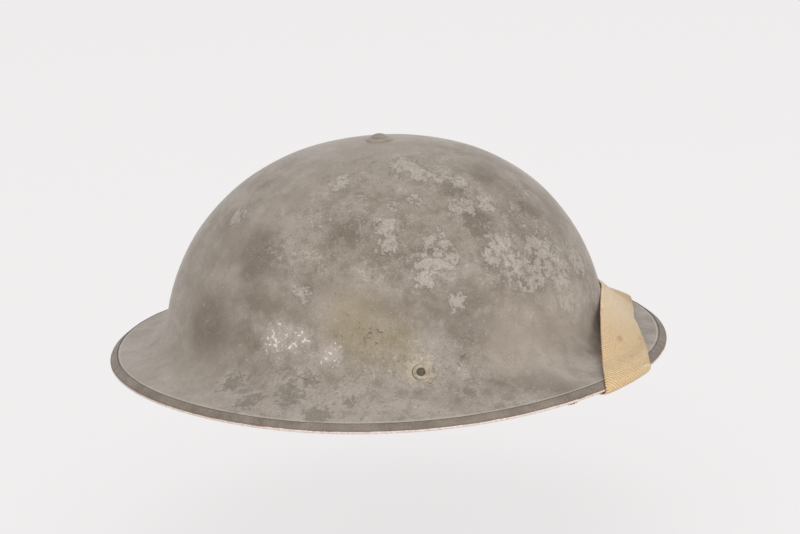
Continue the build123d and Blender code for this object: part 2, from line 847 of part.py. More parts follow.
def make_chin_strap():
    """Webbing from the left loop, over the rear of the brim, to the right loop and back through the slide."""
    bar_clear = wire_radius + soft_gap
    layer = (strap_thickness + layer_gap) / 2
    top_shares = [(step / top_sections) ** top_crowding for step in range(1, top_sections)]
    wires = []
    for side in (-1, 1):
        _, _, length, ends = strap_run(side)
        straight = length - (ends[0] - ends[-1]).length / 2
        line = under_sections(side, bar_clear, twist_end, layer, under_steps)
        line += under_sections(side, twist_end, straight, layer, 1)[1:]
        line += fold_sections(side)
        line += [top_section(side, share) for share in top_shares]
        if side < 0:
            wires += line + [top_section(side, 1)]
        else:
            wires += line[::-1]
    body = Solid.make_loft(wires, ruled=True)
    for side, tail in ((-1, stitched_tail), (1, running_tail)):
        plane = loop_plane(side)
        bar = strap_run(side)[0]
        eye = Plane(origin=bar, x_dir=plane.x_dir, z_dir=plane.y_dir)
        ring = eye * Cylinder(bar_clear + strap_thickness, strap_width)
        back = under_sections(side, bar_clear, min(tail, twist_end), -layer, under_steps)
        body = body + ring + Solid.make_loft(back, ruled=True)
        if tail > twist_end:
            body += Solid.make_loft(under_sections(side, twist_end, tail, -layer, 1), ruled=True)
        body -= eye * Cylinder(bar_clear, 2 * strap_width)
    return body


def slide_plane():
    middle, _, normal = under_frame(1, slide_place)
    return Plane(origin=middle, x_dir=strap_run(1)[1], z_dir=normal)


def make_strap_slide():
    """Pressed steel slide round both layers of the strap, with a thumb ridge."""
    inner_width = strap_width + 2 * slide_gap
    inner_height = 2 * strap_thickness + layer_gap + 2 * slide_gap
    body = Box(slide_length, inner_width + 2 * slide_wall, inner_height + 2 * slide_wall)
    body = fillet(body.edges().filter_by(Axis.X), slide_wall)
    body -= Box(2 * slide_length, inner_width, inner_height)
    ridge = Cylinder(slide_ridge, inner_width * slide_ridge_share)
    ridge = Pos(0, 0, -inner_height / 2 - slide_wall) * Rot(90, 0, 0) * ridge
    ridge -= Box(slide_length, inner_width, inner_height + slide_wall)
    return slide_plane() * (body + ridge)


def make_strap_tip():
    """Folded metal end on the running end of the strap."""
    layer = (strap_thickness + layer_gap) / 2
    middle, _, normal = under_frame(1, running_tail + contact_gap + tip_length / 2)
    plane = Plane(origin=middle - normal * layer, x_dir=strap_run(1)[1], z_dir=normal)
    body = Box(tip_length, strap_width, strap_thickness)
    body = fillet(body.edges().filter_by(Axis.Z).sort_by(Axis.X)[2:], tip_length / 3)
    return plane * body


pieces = {
    "shell": make_shell,
    "rim_strip": make_rim_strip,
    "crown_screw": make_crown_screw,
    "crown_cup": make_crown_cup,
    "crown_spacer": make_crown_spacer,
    "crown_washer": make_crown_washer,
    "crown_nut": make_crown_nut,
    "crown_pad": make_crown_pad,
    "liner_arm_long": lambda: make_arm(long_half_span, long_arm_top, hoop_rivet_heights, long_plane),
    "liner_arm_cross": lambda: make_arm(cross_half_span, cross_arm_top, hoop_rivet_heights, cross_plane),
    "head_hoop": make_head_hoop,
    "hoop_rivets": make_hoop_rivets,
    "sweatband": make_sweatband,
    "lace": make_lace,
    "lug_left": lambda: make_lug(-1),
    "lug_right": lambda: make_lug(1),
    "lug_rivet_left": lambda: make_lug_rivet(-1),
    "lug_rivet_right": lambda: make_lug_rivet(1),
    "strap_loop_left": lambda: make_strap_loop(-1),
    "strap_loop_right": lambda: make_strap_loop(1),
    "chin_strap": make_chin_strap,
    "strap_slide": make_strap_slide,
    "strap_tip": make_strap_tip,
}


def build():
    os.makedirs("parts", exist_ok=True)
    for name, maker in pieces.items():
        export_step(maker(), f"parts/{name}.step")
    for name, (outward, arm_face, hoop_face) in hoop_places().items():
        export_step(make_buffer(outward, arm_face), f"parts/buffer_{name}.step")
    for index in range(tongue_count):
        export_step(make_tongue(index), f"parts/tongue_{index + 1}.step")


build()
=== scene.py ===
import math
import bpy
import numpy as np
from mathutils import Matrix, Vector


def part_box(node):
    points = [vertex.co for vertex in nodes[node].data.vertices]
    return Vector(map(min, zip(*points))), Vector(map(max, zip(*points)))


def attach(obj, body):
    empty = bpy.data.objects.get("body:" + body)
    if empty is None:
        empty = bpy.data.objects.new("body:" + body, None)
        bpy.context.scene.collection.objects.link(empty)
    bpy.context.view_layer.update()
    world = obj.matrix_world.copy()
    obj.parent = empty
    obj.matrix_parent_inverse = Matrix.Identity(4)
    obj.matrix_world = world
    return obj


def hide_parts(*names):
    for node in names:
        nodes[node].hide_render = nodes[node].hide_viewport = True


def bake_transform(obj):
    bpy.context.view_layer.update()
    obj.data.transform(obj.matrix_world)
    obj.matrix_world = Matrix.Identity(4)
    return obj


# A broad-brimmed steel helmet. +Z up, front towards -X, the wearer's left towards -Y.
# Shapes are worked out in millimetres and go into the meshes in metres.
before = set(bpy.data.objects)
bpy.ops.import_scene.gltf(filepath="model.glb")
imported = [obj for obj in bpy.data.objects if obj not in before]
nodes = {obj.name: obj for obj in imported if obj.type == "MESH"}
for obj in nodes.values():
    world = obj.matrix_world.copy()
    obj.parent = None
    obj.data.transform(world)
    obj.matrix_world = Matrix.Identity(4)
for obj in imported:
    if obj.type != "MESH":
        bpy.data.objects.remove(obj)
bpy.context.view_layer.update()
mm = 0.001
print("frame loaded")

camera = dict(lens=121.57, target=(0.00436, 0.0, 0.0507), distance=1.5, azimuth=0.68, elevation=14.75,
              roll=2.52, shift=(0.0092, -0.0039))


def makeCamera():
    # The camera looks back along a line given by its azimuth and elevation, then rolls about that line.
    data = bpy.data.cameras.new("photoCamera")
    data.lens = camera["lens"]
    data.sensor_width = 36.0
    data.shift_x, data.shift_y = camera["shift"]
    view = bpy.data.objects.new("photoCamera", data)
    bpy.context.scene.collection.objects.link(view)
    az, el = math.radians(camera["azimuth"]), math.radians(camera["elevation"])
    back = Vector((math.sin(az) * math.cos(el), -math.cos(az) * math.cos(el), math.sin(el)))
    turn = (-back).to_track_quat("-Z", "Y").to_matrix().to_4x4()
    turn = turn @ Matrix.Rotation(math.radians(-camera["roll"]), 4, "Z")
    view.matrix_world = Matrix.Translation(Vector(camera["target"]) + back * camera["distance"]) @ turn
    bpy.context.scene.camera = view


makeCamera()
print("camera set")


def unit(v):
    # each vector divided by its own length
    return v / np.maximum(np.linalg.norm(v, axis=-1, keepdims=True), 1e-12)


def mix(a, b, share):
    # from a to b in proportion to the share
    return a + (b - a) * share


def smooth(share):
    # 3s^2 - 2s^3, held between 0 and 1
    share = np.clip(share, 0, 1)
    return share * share * (3 - 2 * share)


def power(value, exponent):
    # |v|^e with v's sign
    return np.sign(value) * np.abs(value) ** exponent


def circle(radius, turn):
    # points (r cos t, r sin t)
    return np.stack([radius * np.cos(turn), radius * np.sin(turn)], -1)


def ringTurns(count):
    # evenly spaced angles of a full circle
    return 2 * np.pi * np.arange(count) / count


def lengthAlong(line):
    # distance from the line's start to each of its points
    return np.concatenate([[0], np.cumsum(np.linalg.norm(np.diff(line, axis=0), axis=1))])


def threes(*values):
    # three fields spread over one grid and packed as vectors
    return np.stack(np.broadcast_arrays(*values), -1)


def gridFaces(rows, columns, rowsClose=False, columnsClose=True):
    # quads between neighbouring rows and columns: (r,c) (r,c+1) (r+1,c+1) (r+1,c)
    r = np.arange(rows if rowsClose else rows - 1)[:, None]
    c = np.arange(columns if columnsClose else columns - 1)[None, :]
    nextRow, nextColumn = (r + 1) % rows, (c + 1) % columns
    quads = [r * columns + c, r * columns + nextColumn, nextRow * columns + nextColumn, nextRow * columns + c]
    return np.stack(np.broadcast_arrays(*quads), -1).reshape(-1, 4)


def capFaces(ring, centre):
    # triangles from a ring of indices to one middle point
    return np.stack([ring, np.roll(ring, -1), np.full(len(ring), centre)], -1)


def makeMesh(name, points, faceSets, values=None, sharp=40.0, body="helmet"):
    # points in millimetres and arrays of faces put into one mesh in metres, with named point values
    mesh = bpy.data.meshes.new(name)
    points = np.asarray(points, float).reshape(-1, 3)
    corners = np.concatenate([f.ravel() for f in faceSets]).astype(np.int32)
    totals = np.concatenate([np.full(len(f), f.shape[1]) for f in faceSets])
    starts = np.concatenate([[0], np.cumsum(totals)[:-1]]).astype(np.int32)
    mesh.vertices.add(len(points))
    mesh.vertices.foreach_set("co", (points * mm).ravel())
    mesh.loops.add(len(corners))
    mesh.loops.foreach_set("vertex_index", corners)
    mesh.polygons.add(len(totals))
    mesh.polygons.foreach_set("loop_start", starts)
    mesh.update(calc_edges=True)
    mesh.validate()
    for key, value in (values or {}).items():
        value = np.asarray(value, np.float32)
        kind, field = ("FLOAT_VECTOR", "vector") if value.ndim == 2 else ("FLOAT", "value")
        mesh.attributes.new(key, kind, "POINT").data.foreach_set(field, value.ravel())
    mesh.shade_smooth()
    if sharp:
        mesh.set_sharp_from_angle(angle=math.radians(sharp))
    piece = bpy.data.objects.new(name, mesh)
    bpy.context.scene.collection.objects.link(piece)
    outwards(piece)
    if body:
        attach(piece, body)
    return piece


def outwards(piece):
    # a closed mesh has a positive volume when its faces point outwards, else they are turned over
    mesh = piece.data
    mesh.calc_loop_triangles()
    p = np.zeros(len(mesh.vertices) * 3)
    t = np.zeros(len(mesh.loop_triangles) * 3, np.int32)
    mesh.vertices.foreach_get("co", p)
    mesh.loop_triangles.foreach_get("vertices", t)
    a, b, c = (p.reshape(-1, 3)[t.reshape(-1, 3)[:, k]] for k in range(3))
    if (a * np.cross(b, c)).sum() < 0:
        mesh.flip_normals()


def bandMesh(name, grid, push, values, **extra):
    # a sheet made thick: each row pushed one way, then back along the other face, closed at both ends
    ring = np.concatenate([grid + push, (grid - push)[:, ::-1]], 1)
    rows, columns = ring.shape[:2]
    k = np.arange(columns // 2 - 1)
    ends = np.stack([k, k + 1, columns - 2 - k, columns - 1 - k], -1)
    faces = [gridFaces(rows, columns), ends[:, ::-1], ends + (rows - 1) * columns]
    return makeMesh(name, ring, faces, values, 60, **extra)


def sweep(name, origins, us, vs, section, values=None, closed=False, sharp=40.0, body="helmet"):
    # a closed section (u, v) carried along frames: origin + u*U + v*V, ends capped with a fan
    count, sides = len(origins), section.shape[-2]
    section = np.broadcast_to(section, (count, sides, 2))
    points = origins[:, None] + section[..., :1] * us[:, None] + section[..., 1:] * vs[:, None]
    faces = [gridFaces(count, sides, rowsClose=closed)]
    points = points.reshape(-1, 3)
    values = {k: np.asarray(v).reshape(count * sides, *np.asarray(v).shape[2:])
              for k, v in (values or {}).items()}
    if not closed:
        ends = [points[:sides].mean(0), points[-sides:].mean(0)]
        faces += [capFaces(np.arange(sides)[::-1], count * sides)]
        faces += [capFaces(np.arange(sides) + (count - 1) * sides, count * sides + 1)]
        points = np.concatenate([points, ends])
        values = {k: np.concatenate([v, v[:1], v[-1:]]) for k, v in values.items()}
    return makeMesh(name, points, faces, values, sharp, body)


def lathe(name, profile, axisFrame, sides=48, ripple=None, **extra):
    # (radius, height) points turned about an axis; the first and last lie on it or join to each other.
    # the attribute place keeps each point's own x, y and z in the axis frame
    origin, xWay, yWay, zWay = axisFrame
    profile = np.asarray(profile, float)
    turn = ringTurns(sides)
    poles = profile[0, 0] < 1e-6 and profile[-1, 0] < 1e-6
    ring = profile[1:-1] if poles else profile
    radius = ring[:, :1] * (1 + (ripple(turn) if ripple else 0 * turn))
    height = ring[:, 1:] + 0 * turn
    points = (origin + radius[..., None] * (np.cos(turn)[:, None] * xWay + np.sin(turn)[:, None] * yWay)
              + height[..., None] * zWay)
    faces = [gridFaces(len(ring), sides, rowsClose=not poles)]
    points = points.reshape(-1, 3)
    place = np.stack([radius * np.cos(turn), radius * np.sin(turn), height], -1).reshape(-1, 3)
    if poles:
        last = len(ring) * sides
        faces += [capFaces(np.arange(sides)[::-1], last), capFaces(np.arange(sides) + last - sides, last + 1)]
        points = np.concatenate([points, [origin + profile[0, 1] * zWay, origin + profile[-1, 1] * zWay]])
        place = np.concatenate([place, [(0, 0, profile[0, 1]), (0, 0, profile[-1, 1])]])
    return makeMesh(name, points, faces, {"place": place}, **extra)


def rounded(points, radius, steps=4):
    # a closed outline whose corners become quadratic arcs from radius before to radius after each corner
    points = np.asarray(points, float)
    before, after = np.roll(points, 1, 0) - points, np.roll(points, -1, 0) - points
    reach = lambda way: np.minimum(radius, np.linalg.norm(way, axis=1) * 0.45)[:, None] * unit(way)
    start, end = points + reach(before), points + reach(after)
    t = np.linspace(0, 1, steps)[None, :, None]
    arc = (1 - t) ** 2 * start[:, None] + 2 * t * (1 - t) * points[:, None] + t**2 * end[:, None]
    return arc.reshape(-1, 2)


upright = (np.zeros(3), np.array([1.0, 0, 0]), np.array([0, 1.0, 0]), np.array([0, 0, 1.0]))


def tone(code, alpha=1.0):
    # a hex colour as it looks, turned into the linear light that a shader wants
    c = np.array([int(code[k:k + 2], 16) / 255 for k in (0, 2, 4)])
    return (*np.where(c <= 0.04045, c / 12.92, ((c + 0.055) / 1.055) ** 2.4), alpha)


class Nodes:
    # a node tree, with ways to add a node and to join it to what is there

    def __init__(self, tree):
        self.tree = tree

    def put(self, value, socket):
        if isinstance(value, bpy.types.NodeSocket):
            self.tree.links.new(value, socket)
        elif isinstance(value, str):
            socket.default_value = tone(value)
        else:
            socket.default_value = value

    def node(self, kind, values=None, **settings):
        made = self.tree.nodes.new(kind)
        for key, value in settings.items():
            setattr(made, key, value)
        for key, value in (values or {}).items():
            self.put(value, made.inputs[key])
        return made

    def calc(self, operation, a, b=0.0, c=0.0):
        return self.node("ShaderNodeMath", {0: a, 1: b, 2: c}, operation=operation).outputs[0]


class Finish(Nodes):
    # one material's node tree, with the few nodes that these finishes are made of

    def __init__(self, name, roughness=0.6, **sockets):
        self.material = bpy.data.materials.new(name)
        self.material.use_nodes = True
        super().__init__(self.material.node_tree)
        self.shader = self.tree.nodes["Principled BSDF"]
        self.shader.inputs["Roughness"].default_value = roughness
        for key, value in sockets.items():
            self.shader.inputs[key].default_value = value
        self.object = self.node("ShaderNodeTexCoord").outputs["Object"]
        self.colour = None

    def read(self, attribute, output="Fac"):
        return self.node("ShaderNodeAttribute", attribute_name=attribute).outputs[output]

    def noise(self, scale, detail=4.0, roughness=0.55, place=None, distortion=0.0):
        values = {"Vector": place or self.object, "Scale": scale, "Detail": detail, "Roughness": roughness,
                  "Distortion": distortion}
        return self.node("ShaderNodeTexNoise", values).outputs["Fac"]

    def cells(self, scale, feature="F1", place=None, output="Distance", randomness=1.0):
        values = {"Vector": place or self.object, "Scale": scale, "Randomness": randomness}
        return self.node("ShaderNodeTexVoronoi", values, feature=feature).outputs[output]

    def scaled(self, place, factors):
        return self.node("ShaderNodeMapping", {"Vector": place, "Scale": factors}).outputs[0]

    def parts(self, attribute):
        return self.node("ShaderNodeSeparateXYZ", {0: self.read(attribute, "Vector")}).outputs

    def times(self, a, b):
        return self.calc("MULTIPLY", a, b)

    def plus(self, a, b):
        return self.calc("ADD", a, b)

    def minus(self, a, b):
        return self.calc("SUBTRACT", a, b)

    def centred(self, value, gain):
        # a field from 0 to 1 moved down by a half and made stronger
        return self.times(self.minus(value, 0.5), gain)

    def step(self, value, low, high, fromValue=0.0, toValue=1.0):
        values = {"Value": value, "From Min": low, "From Max": high, "To Min": fromValue, "To Max": toValue}
        return self.node("ShaderNodeMapRange", values, interpolation_type="SMOOTHSTEP").outputs[0]

    def blend(self, factor, a, b, kind="MIX"):
        made = self.node("ShaderNodeMix", data_type="RGBA", blend_type=kind)
        self.put(factor, made.inputs[0])
        self.put(a, made.inputs[6])
        self.put(b, made.inputs[7])
        return made.outputs[2]

    def lay(self, amount, tint, most=None):
        # a tint over the colour so far, as strong as most where the amount is 1
        self.colour = self.blend(amount if most is None else self.times(amount, most), self.colour, tint)

    def bump(self, height, distance, strength=1.0, normal=None):
        values = {"Height": height, "Distance": distance, "Strength": strength}
        if normal is not None:
            values["Normal"] = normal
        return self.node("ShaderNodeBump", values).outputs[0]

    def done(self, roughness=None, normal=None, metal=None):
        for value, key in ((self.colour, "Base Color"), (roughness, "Roughness"), (normal, "Normal"),
                           (metal, "Metallic")):
            if value is not None:
                self.put(value, self.shader.inputs[key])
        return self.material


def dress(piece, material):
    # the piece's one material
    piece.data.materials.clear()
    piece.data.materials.append(material)


shell = dict(rimLength=310.0, rimWidth=292.6, rimDroop=4.7, rimRoundness=2.07, droopSharpness=3.9,
             crownFront=124.7, crownRear=122.6, crownSide=109.8, crownTop=121.4, frontRoundness=2.11,
             rearRoundness=2.28, heightRoundness=2.17, sideFillet=24.0, endFillet=20.0, sideSlope=25.0,
             endSlope=5.0, lipSlope=38.0, lip=5.1, wall=1.1, nose=1.0, crownRows=64, filletRows=30,
             brimRows=20, lipRows=5, columns=300, unevenness=0.3, highest=0.35, fadeRows=8,
             clearOfRivet=(6.0, 14.0), crowding=(5.0, 0.075), brimFade=(10, 20))
rise = np.array([0, 0, 1.0])


def rimMiddle(angle):
    # a superellipse in plan that droops at the two sides
    across, along = np.sin(angle), np.cos(angle)
    x = (shell["rimLength"] / 2 - shell["nose"]) * power(along, 2 / shell["rimRoundness"])
    y = (shell["rimWidth"] / 2 - shell["nose"]) * power(across, 2 / shell["rimRoundness"])
    z = shell["nose"] + shell["rimDroop"] * (1 - np.abs(across) ** shell["droopSharpness"])
    return np.stack([x, y, z], -1)


def crownFoot(angle):
    # where the crown's wall would meet the ground: an ellipse with its own reach in front and behind
    reach = np.where(np.cos(angle) > 0, shell["crownRear"], shell["crownFront"])
    return np.stack([reach * np.cos(angle), shell["crownSide"] * np.sin(angle), 0 * angle], -1)


def slopeFrame(flat, slope):
    # outward direction and upward normal of a face that falls outwards at a slope
    slope = np.asarray(slope)[..., None]
    return flat * np.cos(slope) - rise * np.sin(slope), flat * np.sin(slope) + rise * np.cos(slope)


def brimFlat(angle):
    # level direction from the crown's foot to the rim
    way = rimMiddle(angle) - crownFoot(angle)
    way[..., 2] = 0
    return unit(way)


def edgeFrame(angle):
    # middle of the rim's wall, with the turned-down lip's outward direction and normal
    outward, normal = slopeFrame(brimFlat(angle), np.radians(shell["lipSlope"]) + 0 * angle)
    return rimMiddle(angle), outward, normal


def brimSlope(angle):
    # the fall of the brim: the ends' slope, passing to the sides' with the sine squared
    return np.radians(mix(shell["endSlope"], shell["sideSlope"], np.sin(angle) ** 2))


def wallAt(angle, turn):
    # superellipse from the top of the crown: plan share sin^(2/m), height cos^(2/n)
    sideRoundness = (shell["frontRoundness"] + shell["rearRoundness"]) / 2
    endRoundness = np.where(np.cos(angle) > 0, shell["rearRoundness"], shell["frontRoundness"])
    roundness = mix(sideRoundness, endRoundness, np.cos(angle) ** 2)
    share = np.sin(turn) ** (2 / roundness)
    return share, shell["crownTop"] * np.cos(turn) ** (2 / shell["heightRoundness"])


def profile(angle):
    # where the crown's wall, the concave fillet arc and the brim's straight line meet, at each angle
    middle, outward, normal = edgeFrame(angle)
    foot, flat, slope = crownFoot(angle), brimFlat(angle), brimSlope(angle)
    crease = middle + normal * shell["wall"] / 2 - outward * shell["lip"]
    radius = mix(shell["endFillet"], shell["sideFillet"], np.sin(angle) ** 2)
    length = np.linalg.norm(foot[..., :2], axis=-1)
    run = np.linalg.norm((crease - foot)[..., :2], axis=-1)
    low, high = np.radians(40) + 0 * angle, np.radians(89.9) + 0 * angle
    for _ in range(46):
        turn, tiny = (low + high) / 2, 1e-4
        a, b, here = (wallAt(angle, turn + k) for k in (-tiny, tiny, 0))
        tangent = unit(np.stack([(b[0] - a[0]) * length, b[1] - a[1]], -1))
        centre = (np.stack([(here[0] - 1) * length, here[1]], -1)
                  + radius[..., None] * np.stack([-tangent[..., 1], tangent[..., 0]], -1))
        line = crease[..., 2] + (run - centre[..., 0]) * np.tan(slope)
        above = (centre[..., 1] - line) * np.cos(slope) > radius
        low, high = np.where(above, turn, low), np.where(above, high, turn)
    start = np.arctan2(-tangent[..., 0], tangent[..., 1])
    start = np.where(start > 0, start - 2 * np.pi, start)
    return dict(foot=foot, flat=flat, slope=slope, radius=radius, length=length, run=run, turn=turn,
                centre=centre, start=start, finish=-np.pi / 2 - slope, height=crease[..., 2], crease=crease)


def outerRows(angle):
    # rows of the outer face from the crown's hole to the edge: crown, fillet, brim, turned-down lip
    p = profile(angle)
    first = 0.011
    share = np.linspace(0, 1, shell["crownRows"])[:, None]
    turn = mix(first, p["turn"], share**1.15)
    reach, height = wallAt(angle, turn)
    crown = p["foot"] * reach[..., None] + height[..., None] * rise
    share = np.linspace(0, 1, shell["filletRows"] + 1)[1:, None]
    turn = mix(p["start"], p["finish"], share)
    run = p["centre"][..., 0] + p["radius"] * np.cos(turn)
    height = p["centre"][..., 1] + p["radius"] * np.sin(turn)
    fillet = p["foot"] + p["flat"] * run[..., None] + height[..., None] * rise
    share = np.linspace(0, 1, shell["brimRows"] + 1)[1:, None]
    brimRun = mix(run[-1], p["run"], share)
    height = p["height"] + (p["run"] - brimRun) * np.tan(p["slope"])
    brim = p["foot"] + p["flat"] * brimRun[..., None] + height[..., None] * rise
    middle, _, normal = edgeFrame(angle)
    edge = middle + normal * shell["wall"] / 2
    share = np.linspace(0, 1, shell["lipRows"] + 1)[1:, None, None]
    lip = mix(p["crease"], edge, share)
    rows = np.concatenate([crown, fillet, brim, lip])
    crease = len(rows) - shell["lipRows"] - 1
    rows[crease] = rows[crease] * 0.6 + (rows[crease - 1] + rows[crease + 1]) * 0.2
    return rows


def shellHeight(x, y):
    # height of the outer face over a point outside the crown's top: its angle by bisection, then its profile
    low = np.arctan2(y, x) - 0.35
    high = low + 0.7
    for _ in range(30):
        angle = (low + high) / 2
        foot, flat = crownFoot(angle), brimFlat(angle)
        side = flat[..., 0] * (y - foot[..., 1]) - flat[..., 1] * (x - foot[..., 0])
        low, high = np.where(side > 0, angle, low), np.where(side > 0, high, angle)
    p = profile(angle)
    run = (x - foot[..., 0]) * flat[..., 0] + (y - foot[..., 1]) * flat[..., 1]
    brim = p["height"] + (p["run"] - run) * np.tan(p["slope"])
    arcEnd = p["centre"][..., 0] + p["radius"] * np.cos(p["finish"])
    deep = np.maximum(p["radius"] ** 2 - (run - p["centre"][..., 0]) ** 2, 0)
    arc = p["centre"][..., 1] - np.sqrt(deep)
    lip = p["height"] - (run - p["run"]) * math.tan(math.radians(shell["lipSlope"]))
    height = np.where(run < arcEnd, arc, brim)
    return np.where(run > p["run"], lip, height)


rivet = dict(x=17.9, z=21.3, head=4.6, headHeight=0.8, sink=0.45, pit=2.3, pitDepth=1.2, shank=2.9, tail=4.4,
             tailHeight=1.2, lugSeat=1.6, lugThickness=1.5, dish=7.5, dishDepth=0.3, under=0.66,
             underReach=(2.7, 1.4), halo=14.0)


def rivetFrame(side):
    # the face's point at the rivet's x and z, by bisection across, with the face's slopes as its normal
    low, high = 105.0, 125.0
    for _ in range(40):
        y = (low + high) / 2
        if shellHeight(np.array([rivet["x"]]), np.array([side * y]))[0] > rivet["z"]:
            low = y
        else:
            high = y
    d = 0.05
    xs = rivet["x"] + np.array([-d, d, 0, 0])
    ys = side * (y + np.array([0, 0, -d, d]))
    z = shellHeight(xs, ys)
    normal = unit(np.array([-(z[1] - z[0]) / (2 * d), -side * (z[3] - z[2]) / (2 * d), 1.0]))
    rearward = unit(np.array([abs(normal[1]), -np.sign(normal[1]) * normal[0], 0.0]))
    return np.array([rivet["x"], side * y, rivet["z"]]), rearward, np.cross(normal, rearward), normal


rivetFrames = {"left": rivetFrame(-1), "right": rivetFrame(1)}

# places of wear and tone, and of painted shade (among dark) and painted light (glow): x, y, z and radius in
# millimetres
wear = dict(
    flake=[(13, -39, 115, 8), (21, -44, 112, 7), (32, -46, 109, 4.5), (42, -45, 106, 5.5), (6, -68, 100, 4),
           (18, -62, 102, 4.5), (40, -62, 97, 5.5), (46, -59, 96, 5), (55, -53, 96, 5.5), (3, -77, 91, 6),
           (4, -84, 84, 6), (32, -85, 75, 9), (29, -81, 83, 7), (24, -88, 74, 8), (22, -93, 66, 6),
           (62, -69, 78, 8), (58, -74, 72, 6), (71, -72, 65, 11), (85, -57, 67, 13), (78, -68, 60, 10),
           (94, -55, 52, 8), (-21, -49, 110, 6), (-42, -91, 60, 5), (38, -95, 53, 6), (97, -59, 41, 7),
           (105, -34, 57, 8), (-77, -37, 91, 6), (-30, 40, 112, 7), (20, 62, 101, 9), (-60, 60, 84, 8),
           (70, 60, 76, 12), (-10, 92, 70, 8), (-92, 40, 62, 9), (40, 90, 58, 7), (95, 48, 55, 9)],
    dark=[(53, -66, 87, 10), (73, -42, 92, 8), (57, -31, 106, 9), (39, -52, 104, 6), (-67, -66, 77, 14),
          (62, -109, 14, 9), (79, -104, 12, 12), (90, -108, 9, 8), (-95, -64, 38, 16), (49, -95, 42, 14),
          (-19, -80, 90, 12), (30, 50, 106, 14), (-70, 60, 70, 18), (60, 100, 20, 14)],
    olive=[(-73, -115, 10, 7), (-68, -112, 11, 5), (-51, -117, 12, 9), (-36, -133, 7, 8), (-81, -96, 14, 8),
           (-40, -109, 18, 5), (43, -120, 12, 5), (-19, -126, 11, 5), (70, 110, 14, 10), (-60, 112, 12, 9)],
    chalk=[(-57, -93, 36, 9), (-48, -98, 34, 5), (-50, -95, 41, 5), (-29, -104, 31, 7), (-43, -98, 39, 6),
           (-66, 92, 30, 9)],
    ochre=[(-16, -102, 46, 16), (-6, -105, 39, 14), (5, -106, 35, 13), (-20, 103, 40, 16)],
    crack=[(-6, -105, 40, 6), (-45, -110, 16, 7), (12, -121, 14, 5), (23, -117, 16, 5), (32, -105, 25, 5),
           (40, -103, 25, 5), (84, -86, 18, 5), (-42, -91, 60, 6), (20, 108, 30, 8), (110, 30, 40, 8)],
    rough=[(15, -65, 98, 40), (75, -60, 70, 34), (-35, -75, 85, 22), (-50, -115, 12, 30), (0, -122, 13, 26),
           (50, -116, 12, 26), (18, -111, 20, 12), (0, 65, 98, 45), (-70, 60, 70, 30), (60, 110, 15, 30),
           (-60, 108, 15, 26), (118, 0, 45, 34), (-120, 0, 40, 30)],
    glow=[(78, -92, 32, 26), (70, -96, 28, 20), (98, -62, 36, 20)],
    plate=[(-37, -133, 7, 5), (-53, -110, 15, 4), (-75, -105, 12, 3.5), (62, -122, 10, 4), (40, 122, 10, 5)])


def spots(points, places):
    # the nearest spot counts: 1 at its middle, 0 at its radius and beyond
    field = np.zeros(len(points))
    for x, y, z, radius in places:
        field = np.maximum(field, 1 - np.linalg.norm(points - (x, y, z), axis=1) / (1.6 * radius))
    return np.clip(field, 0, 1)


def crowded(count, places, pull, width):
    # evenly spaced angles drawn together near some places, so that small dishes there are round
    fine = np.linspace(-np.pi, np.pi, 20001)
    gap = lambda place: (fine - place + np.pi) % (2 * np.pi) - np.pi
    density = 1 + sum(pull * np.exp(-(gap(place) / width) ** 2) for place in places)
    total = np.concatenate([[0], np.cumsum((density[1:] + density[:-1]) / 2)])
    return np.interp(np.arange(count) / count * total[-1], total, fine)


